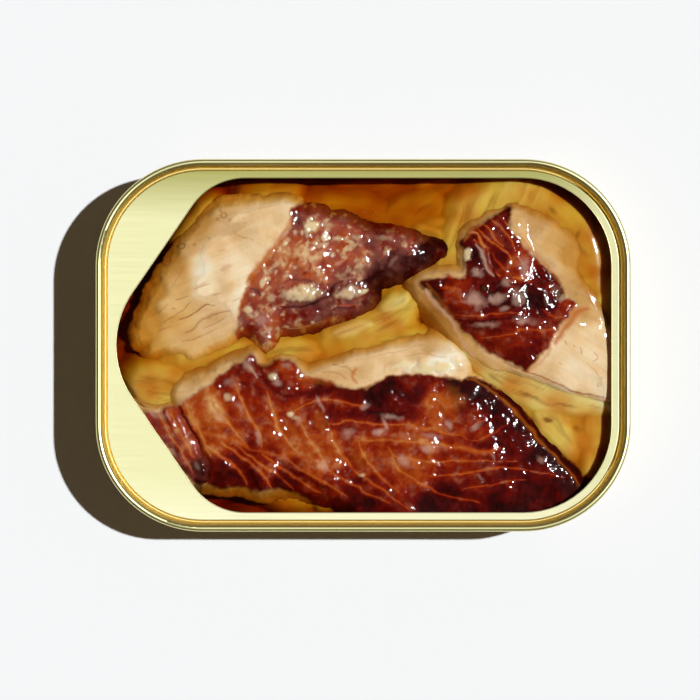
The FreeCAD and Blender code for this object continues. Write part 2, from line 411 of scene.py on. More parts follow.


# A stroke is (width, strength, depth, points): a depth over 0 is a groove, under 0 a ridge.
# A patch is (x, y, half length, half width, angle, strength, bulge).
# Heights are over the oil, and tones run from 0, near black, to 1, the palest.
# Lines are pale fat; channels dark seams, partly the flesh's own and partly painted shade in the
# grooves and under the curds; cracks fine brown splits; glow a warm orange, partly the flesh's own
# edge colour and partly painted light glowing through it; gleams painted glints on low wet ridges;
# curds cream lumps; and film milky wet pools with a painted lilac sheen. calmDark keeps the darkest
# flesh smooth.
upperFillet = {
    "seed": 3, "pitch": 0.2, "ragged": 0.2, "round": 0.3, "shoulder": 2.6, "haze": 0.12, "crumbs": 0.6,
    "fibreAngle": 24, "petals": 0.12, "flank": 1.8, "calmDark": 0.4,
    "outline": [
        (-45.5, 1.1), (-45.3, 3.9), (-44, 6.9), (-42.9, 9.5), (-41.4, 12.5), (-39.5, 15.5), (-37.3, 18.5),
        (-35.8, 20.7), (-33.5, 23.7), (-31.7, 25.9), (-29.1, 27.6), (-26.5, 28.3), (-22.7, 28.5),
        (-18.6, 28.7), (-15.8, 29), (-13.8, 27.9), (-12.3, 26.6), (-10.6, 26.7), (-8.9, 26.5), (-7.1, 25.4),
        (-4.5, 25.2), (-2.2, 24.4), (0, 23.1), (2.6, 22.5), (7.4, 22), (10, 21.1), (12.8, 20.4),
        (15.8, 19.3),
        (13.9, 17.8), (11.8, 16.2), (9.3, 15.2), (5.9, 14.5), (2.7, 13.3), (1.1, 12.2), (1.6, 10.6),
        (0.6, 8.6), (-2.2, 7), (-6.3, 6.1), (-9.7, 4.7), (-12.3, 4.6), (-15.3, 3.6), (-17.5, 2.8),
        (-18.3, 0.9), (-19.6, 0.2), (-20.9, 1.7), (-22.6, 3.4), (-25, 3.6), (-28, 1.3), (-30.2, 0.2),
        (-34.7, -2), (-37, -0.9), (-39.9, -0.5), (-42.9, -1.1), (-43.1, 0.9)],
    "heights": [
        (-45, 2, -2.6), (-44, 7, -2.4), (-42.4, 4, -1.9), (-39.6, 3.4, -1.0), (-42, 11, -2.0),
        (-38, 12, -0.5), (-39, 17, -1.2),
        (-36, 20, -0.35), (-34, 24, -0.8), (-40, 8, -0.55), (-37, 1, -0.5), (-30, 4, -0.1), (-32, 12, 0.15),
        (-30, 19, 0.35), (-25, 25, 0.1), (-20, 27, 0.2), (-26, 14, 0.6), (-20, 22, 0.9), (-10, 18, 1),
        (-13, 25, 0.7), (-4, 23, 0.5), (2, 18, 0.7), (8, 18.5, 0.6), (14, 19.3, 0.1), (-5, 13, 0.5),
        (-10, 8, 0.4), (-18, 3, 0), (-22, 6, 0.4), (0, 10, 0.3), (-28, 28, -0.3), (-20, 12, 0.6)],
    "paleTones": [
        (-30, 20, 0.62), (-25, 24, 0.5), (-20, 24, 0.62), (-16, 26.5, 0.6), (-32, 12, 0.8),
        (-33, 16, 1.0), (-28, 11, 0.62),
        (-38, 12, 0.6), (-42, 6, 0.55), (-40, 2, 0.6), (-30, 4, 0.6), (-26, 15, 0.85), (-25, 10, 0.8),
        (-36, 20, 0.4), (-34, 24, 0.38), (-38, 16, 0.42), (-22, 20, 0.68), (-35, 7, 0.62),
        (-28, 1.5, 0.58)],
    "smokedTones": [
        (-12, 18, 0.72), (-8, 16, 0.7), (-5, 20, 0.62), (0, 18, 0.6), (-20, 12, 0.7), (-15, 14, 0.7),
        (-22, 6, 0.58), (-18, 20, 0.75), (-17, 9, 0.48), (-14, 24, 0.5), (-10, 22, 0.62), (-3, 14, 0.42),
        (2, 20.5, 0.46), (5, 17, 0.22), (8, 16.5, 0.2), (12, 18.5, 0.12), (9, 20.9, 0.5), (6, 21, 0.42),
        (-10, 8, 0.36), (-6, 6.5, 0.38), (-20, 3, 0.6), (-2, 8, 0.42), (4, 14.4, 0.18), (-12, 5.5, 0.45)],
    "smoked": [[
        (-12, 29.4), (-14.2, 27.4), (-14.8, 24.6), (-15.4, 23), (-17.4, 20.9), (-19, 18.8), (-21, 16),
        (-22.9, 13.4), (-23.2, 12), (-23.8, 10.4), (-25, 8), (-25.4, 4.7), (-26, 2), (-20, -3), (0, 0),
        (20, 10), (20, 24), (0, 30)]],
    "lines": [
        (0.3, 0.6, -0.12, [(-11.5, 15), (-9.7, 17.1), (-7.7, 18.6)]),
        (0.35, 0.4, -0.1, [(3.2, 17.4), (4.6, 18.8), (6, 19.9)]),
        (0.25, 0.3, -0.1, [(9, 17.9), (10.9, 19.4)]),
        (0.35, 0.6, -0.15, [(-5.5, 16.2), (-4.5, 16.9), (-3.4, 17.4)]),
        (0.3, 0.55, -0.1, [(-5.7, 8), (-3.4, 8.2), (-1.6, 8.4)])],
    "shadedSeams": [
        (0.22, 0.7, 0.2, [(-16, 12.3), (-14.7, 13), (-13.3, 13.2), (-11.5, 13.2), (-9.7, 12.6),
                          (-8.2, 12.4)]),
        (0.32, 0.85, 0.4, [(-16.7, 8.1), (-14.7, 7.8), (-12.4, 7.8), (-10.6, 8.5), (-8.8, 9.2), (-7.1, 10.1),
                          (-6.4, 11.4), (-5.5, 12.4), (-4.3, 12.8)]),
        (0.28, 0.7, 0.3, [(-6.2, 7), (-5.2, 7.8), (-3.4, 7.6), (-1.9, 7.9)]),
        (0.22, 0.55, 0.15, [(-12.2, 14.2), (-10.4, 16.4), (-8.9, 17.9)]),
        (0.5, 0.8, 0.4, [(-22.8, 11.4), (-21.6, 11), (-20.6, 10)]),
        (0.35, 0.6, 0.3, [(-19.5, 13.2), (-18.8, 12.6)]),
        (0.5, 0.55, 0.3, [(-25, 6.2), (-24.2, 5), (-23.4, 4)]),
        (0.5, 0.5, 0.3, [(-12.9, 25.7), (-12.9, 24.2)]),
        (0.6, 0.8, 0.1, [(-1.5, 12.3), (0.5, 13.2), (2.4, 14.2), (4, 15)])],
    "cracks": [
        (0.16, 0.9, 0.2, [(-37.4, 5.1), (-36, 5.6), (-34.2, 6.7), (-33.1, 7.6), (-31.6, 8.4), (-30, 8.4)]),
        (0.3, 0.5, 0.2, [(-36, 2.6), (-33.4, 4.4), (-31.1, 6), (-28.8, 6.9), (-27, 7.1)]),
        (0.15, 0.6, 0.15, [(-32.4, 3.3), (-29.8, 4.7), (-28, 5.6)]),
        (0.14, 0.5, 0.1, [(-38.3, 9.1), (-35.2, 10)]), (0.14, 0.4, 0.1, [(-41.7, 2.8), (-38.8, 4)]),
        (0.14, 0.4, 0.1, [(-26.6, 8.9), (-24.8, 9.8)]), (0.14, 0.4, 0.1, [(-38.8, 7.3), (-37.9, 7.5)]),
        (0.1, 0.5, 0.1, [(-26.2, 22.6), (-24.4, 21.9), (-22.3, 21.1)]),
        (0.12, 0.3, 0.1, [(-29.8, 18.8), (-27.9, 19.5)]),
        (0.12, 0.6, 0.12, [(-40.6, 4.6), (-37.6, 6.4), (-34.8, 8.8)]),
        (0.1, 0.5, 0.1, [(-41.8, 6.4), (-39.4, 8.2)]),
        (0.12, 0.5, 0.12, [(-36.8, 0.8), (-33, 1.8), (-29.6, 3.4)]),
        (0.1, 0.45, 0.1, [(-34.2, 11.4), (-31, 12.6)]), (0.1, 0.4, 0.1, [(-30.8, 10.2), (-28.2, 10.8)]),
        (0.14, 0.35, 0.1, [(-36.4, 15.6), (-38.8, 11.9)])],
    "glow": [
        (0.85, 0.85, 0.1, [(-23.4, 12.8), (-21.6, 15.4), (-19.4, 18.4), (-17.6, 20.6), (-15.6, 23.4)]),
        (0.45, 0.6, 0.1, [(-14.6, 25.6), (-15.6, 23.6)]),
        (0.5, 0.4, 0, [(-23.6, 11.5), (-24.6, 8.6), (-25.6, 5.6)]),
        (0.9, 0.3, 0, [(-28.6, 15.2), (-27, 16.2)]),
        (0.5, 0.5, -0.1, [(-14.7, 4), (-10.6, 3.6), (-5.2, 5.8)])],
    "paintedGlints": [
        (0.22, 0.6, -0.1, [(-20.6, 4.6), (-19.2, 3), (-18.6, 1.4)]),
        (0.16, 0.5, 0, [(-16.4, 3.4), (-12, 3.6), (-8.4, 5)])],
    "curds": [
        (-10.6, 24.2, 2.4, 1.7, 80, 0.95, 0.4), (-7.7, 22, 1.1, 0.9, 20, 0.85, 0.2),
        (-5.2, 21.6, 1.2, 0.8, -20, 0.75, 0.2), (-3.5, 19.5, 0.9, 0.6, 0, 0.5, 0.1),
        (-16, 20.6, 0.8, 0.7, 50, 0.6, 0.1), (-20.3, 12.5, 1.3, 0.9, 40, 0.75, 0.25),
        (-23.5, 7.1, 1.1, 0.9, 0, 0.7, 0.2), (-12.2, 10.65, 4.7, 1.9, 6, 0.8, 0.55),
        (-3.2, 10.7, 3.6, 1.8, 12, 0.6, 0.5), (-18.6, 9.4, 1.3, 1.1, 0, 0.4, 0.2),
        (-10.4, 4.6, 0.6, 0.5, 0, 0.8, 0.1), (-15.6, 3.7, 0.7, 0.5, 0, 0.6, 0.1),
        (-7.1, 24.4, 1.8, 0.9, -20, 0.4, 0.15), (-13.5, 19, 1.4, 0.8, 40, 0.4, 0.1),
        (-17.5, 16.5, 1.4, 0.7, 40, 0.45, 0.1), (-8.6, 14.4, 1.3, 0.6, 20, 0.3, 0.1),
        (-1.5, 21.8, 1.6, 0.8, -15, 0.35, 0.15), (-14.8, 16.4, 1.1, 0.6, 60, 0.3, 0.1),
        (4.6, 21.6, 1.8, 0.7, -5, 0.25, 0.1), (-10.2, 19.6, 1.5, 0.6, 50, 0.3, 0.1),
        (0.4, 10.8, 1.1, 0.7, 20, 0.8, 0.15), (-22.4, 10.2, 0.9, 0.7, 0, 0.4, 0.15)],
    "filmAndPaintedSheen": [
        (-5, 16.6, 1.6, 0.8, 35, 0.6, 0), (-16, 22.4, 1.4, 0.9, 40, 0.5, 0),
        (-20.8, 4.8, 2.8, 1.9, -50, 0.75, 0.2),
        (-19.2, 1.6, 1.2, 0.9, -50, 0.8, 0.3), (-9.4, 16.4, 2.2, 1.3, 40, 0.3, 0),
        (-2.2, 13.7, 1.8, 0.6, 10, 0.5, 0),
        (6.4, 17.4, 2.6, 0.8, 40, 0.35, 0), (-16.4, 9.8, 1.4, 1, 0, 0.35, 0),
        (-36.4, 17.2, 3.6, 0.8, 60, 0.35, 0)],
}

rightFillet = {
    "seed": 23, "pitch": 0.2, "ragged": 0.12, "round": 0.35, "shoulder": 2.8, "haze": 0.0, "crumbs": 0.08,
    "fibreAngle": -32, "petals": 0.05, "flank": 2.0, "calmDark": 0.75,
    "outline": [
        (20.2, 21.4), (22.2, 23.9), (25.7, 26), (28.4, 26.7), (30.4, 27.6), (34, 26.6), (38.9, 24.3),
        (42.3, 21.6), (43.4, 18.6), (42.9, 15.6), (44.1, 12.1), (46.2, 8.8), (49, 4.4), (51.6, 0),
        (53.4, -4),
        (53.4, -9), (50.5, -11.3), (46, -10.3), (41, -8.8), (36, -6.9), (31.4, -5.4), (27, -5.2),
        (23.6, -3.4),
        (20, -0.8), (17, 2.3), (13.6, 6.6), (10.9, 10), (10.2, 12.4), (12, 14.2), (16, 15.2), (20.2, 14.8),
        (20.3, 17.5)],
    "heights": [
        (21.5, 22, 0.5), (26, 22, 0.8), (30, 24, 0.7), (29, 18, 1.2), (35, 24, -0.1), (39, 21, -0.8),
        (42, 18, -1.4), (38, 16, 0), (41, 12, -0.3), (24, 14, 1), (15, 12.5, 0.7), (12, 12, 0.3),
        (13.4, 8.6, -0.5), (16.8, 4, -0.5), (20.4, -0.3, -0.5), (27, -3.5, -0.1), (24, 8, 1.3),
        (30, 8, 1.3),
        (35, 9, 0.8), (30, 2, 1.1), (36, 1, 1), (42, 4, 1), (44, 8, 0.3), (47, 2, 0.6), (46, -4, 1.1),
        (50, -6, 0.9), (40, -5, 0.9), (36, -4.5, 0.6), (46, -8.5, 0.5), (34, -2, 0.9), (19, 10, 1)],
    "paleTones": [
        (34, 24, 0.4), (38, 20, 0.5), (40, 15, 0.5), (44, 6, 0.34), (46, -2, 0.72), (42, -6, 0.8),
        (38, -4, 0.66), (47, -8, 0.7), (48, 0, 0.64), (44, 0, 0.7), (12, 11, 0.14), (14, 8, 0.12),
        (18, 3, 0.2), (22, -2, 0.3), (28, -4, 0.45), (41, 18, 0.4), (22, 22, 0.3), (15, 14.6, 0.34),
        (20.4, 18, 0.45), (31, 26, 0.4)],
    "smokedTones": [
        (26, 22, 0.3), (28, 18, 0.24), (24, 18, 0.22), (35, 9, 0.14), (24, 4, 0.28), (35, 5, 0.34),
        (15, 12, 0.2), (18, 11.3, 0.5), (27, 12, 0.26), (31.5, 17, 0.66), (33.5, 15, 0.56), (31, 14, 0.5),
        (35, 14.5, 0.26), (38, 11, 0.32), (41.5, 8, 0.5), (39, 5.5, 0.46), (30, 7, 0.24), (22, 9, 0.46),
        (27, 5.5, 0.3), (24.5, 2, 0.48), (31, 1.5, 0.46), (36, 1, 0.44), (33.5, -3, 0.28), (29, 0, 0.52),
        (29.5, 24, 0.26), (23, 6, 0.3), (37.5, 8, 0.2), (33, 11, 0.16)],
    "smoked": [[
        (20.6, 22.4), (22, 23.6), (25.4, 26), (30.2, 28.2), (29.8, 25.2), (31.2, 22.2), (33.4, 19.6),
        (36, 16.6), (38.6, 14.2), (41.2, 10.4), (43, 8.2), (41.8, 6), (39.2, 3), (36.8, -1), (34, -3.9),
        (32.6, -5), (28.8, -3), (26, -1.6), (23, 0.2), (20.6, 2.6), (18.8, 4.8), (16.8, 6.8), (14.6, 9.2),
        (12.4, 11.4), (11.6, 13.2), (16, 14.2), (20.6, 14.2), (20.8, 17), (20, 20)]],
    "lines": [
        (0.5, 0.95, -0.3, [(21.4, 23), (22.9, 22.9), (23.8, 21.8), (24.4, 20.1), (25, 18.4), (25.5, 16.6),
                           (26.1, 15), (27.5, 14)]),
        (0.3, 0.85, 0.05, [(23, 23.7), (24.2, 22.8), (25.5, 21.5), (26.9, 20.6), (28.3, 19.5), (29.5, 18.1),
                           (30.1, 16.9)]),
        (0.26, 0.8, 0.05, [(24.2, 24.6), (25.5, 23.7), (26.4, 22.1), (27.5, 20.9), (28.6, 20)]),
        (0.3, 0.8, 0.05, [(26.1, 25.4), (27.5, 24.3), (28.6, 22.9), (29.7, 21.5), (30.4, 20)]),
        (0.22, 0.6, 0.05, [(28, 26), (29.4, 24.4), (30.2, 22.8), (31, 21)]),
        (0.26, 0.6, 0.05, [(22.4, 21.6), (24, 20.6), (25.6, 19.6)]),
        (0.3, 0.6, 0.05, [(26.4, 18.6), (27.6, 16.6), (28.8, 14.8)]),
        (0.2, 0.6, 0.08, [(18.6, 5.9), (22, 6), (25.4, 6.1), (29, 6.4), (32.8, 6.3)]),
        (0.3, 0.5, -0.08, [(24, 1.6), (29.6, 2.3), (32, 3.2), (36.7, 2.9), (39.6, 3.6)]),
        (0.4, 0.45, -0.1, [(15.4, 11.6), (17.4, 11.7), (19.8, 11.2)]),
        (0.45, 0.8, -0.15, [(30.4, 13.7), (32.4, 13.6), (33.6, 12.8)]),
        (0.45, 0.6, -0.1, [(13, 13.8), (16.4, 14.2), (20, 14)]),
        (0.3, 0.5, -0.1, [(36.4, 7.2), (38.2, 6), (40.8, 5.6)])],
    "shadedSeams": [
        (0.12, 0.7, 0.06, [(31.6, 18.8), (32.6, 17), (32.6, 15.4), (31.8, 14.2)]),
        (0.12, 0.6, 0.06, [(30.6, 18), (31.8, 16.4), (31.2, 14.8)]),
        (0.4, 0.9, 0.35, [(24.2, 9.6), (26.4, 10.6), (28.2, 12.4), (31, 12.2)]),
        (0.24, 0.7, 0.2, [(19, 4.9), (22, 4.9), (26, 5.2), (33, 5.4)]),
        (0.35, 0.9, 0.3, [(24.6, 19.6), (25.6, 16.4), (27.2, 13.2)]),
        (0.8, 0.9, 0.3, [(34.2, 12), (35.2, 9.6), (35.4, 7.2)]),
        (0.4, 0.8, 0.35, [(23.4, 12.4), (24.4, 11.5), (25.4, 11.4)])],
    "paintedGlints": [
        (0.4, 0.8, -0.15, [(12.6, 11.2), (13.6, 9.8), (15.4, 7.6), (17.6, 5), (19.2, 2.6), (20.4, 0.6)]),
        (0.5, 1.0, -0.2, [(20.2, 1), (21.2, -0.6), (22.6, -2.4)]),
        (0.3, 0.7, -0.1, [(23, 20.6), (24.4, 18), (25, 15.6), (26.4, 14)]),
        (0.2, 0.6, 0, [(26.8, -4.6), (28.6, -6.2), (30.4, -7)])],
    "cracks": [
        (0.17, 0.95, 0.3, [(28.1, -3.5), (31.2, -4.6), (34.7, -5.8), (38.2, -7.3), (40.6, -8.2), (43, -9.4),
                           (45.8, -10.1), (50.4, -11)]),
        (0.12, 0.6, 0.12, [(40.9, 1.2), (41.4, 0.2)]), (0.12, 0.7, 0.12, [(44.1, -0.6), (44.4, -1.6)]),
        (0.12, 0.5, 0.1, [(42.6, -0.1), (42.9, -0.7)]), (0.1, 0.4, 0.1, [(39.4, -3.2), (40.4, -3.8)]),
        (0.14, 0.5, 0.12, [(46.8, -1), (47.6, -2.4), (46.6, -3)]),
        (0.14, 0.3, -0.2, [(45.6, -3.2), (47.6, -6.3), (48.8, -9.1)])],
    "glow": [
        (0.9, 0.8, 0, [(45.6, 7.4), (43.4, 6.6), (41, 3.8), (39, 0.8)]),
        (0.45, 0.45, 0, [(31.6, 22.6), (34, 19.6), (37, 16.2), (40, 12.4)]),
        (0.5, 0.4, 0, [(38, -0.6), (36, -3.4), (33.4, -5)]),
        (0.45, 0.4, 0, [(12.6, 12.4), (15.6, 9), (18.4, 5.4)]),
        (0.45, 0.55, 0, [(20.6, 21.2), (21.6, 23.2), (24, 24.8)])],
    "curds": [
        (21.2, 18.4, 1.5, 0.8, 80, 0.8, 0.3), (41, 9.8, 1, 0.8, 0, 0.4, 0.2),
        (22.6, 15.4, 1.3, 1.4, 0, 0, 0.3),
        (28.5, 10.6, 2.6, 1.6, 20, 0, 0.35), (36.2, 15.4, 2.4, 0.9, 120, 0, 0.3),
        (39.4, 10.6, 2.2, 1, 120, 0.1, 0.3),
        (26, 4.4, 4.8, 0.8, 2, 0, 0.35), (33.6, -2.6, 1.8, 1, -30, 0, 0.3),
        (24.4, 11.6, 0.9, 0.8, 0, 0, 0.5)],
    "filmAndPaintedSheen": [
        (22.6, 9.2, 3.4, 2.1, -20, 1, 0.1), (31.4, 9.8, 2.2, 2, 60, 0.9, 0.1),
        (22.9, 14.7, 1.6, 1.2, 0, 0.8, 0.1), (26.8, 9.4, 2.8, 1.6, 10, 0.95, 0.1),
        (32.6, 16, 3, 1.6, 100, 0.7, 0), (32.6, 4.8, 2.8, 1.2, -10, 0.85, 0.1),
        (24.3, 4.2, 4, 0.9, 4, 0.7, 0), (28.8, 12.6, 1.6, 1, 0, 0.8, 0), (29, 7.4, 1.8, 0.8, 20, 0.7, 0),
        (37, 9.6, 0.7, 1.8, 10, 0.5, 0), (25.7, 17, 2.2, 0.35, 105, 0.8, 0),
        (34.4, 18.4, 0.6, 1.4, 30, 0.5, 0),
        (40.2, 9.2, 1, 0.6, 60, 0.6, 0)],
}

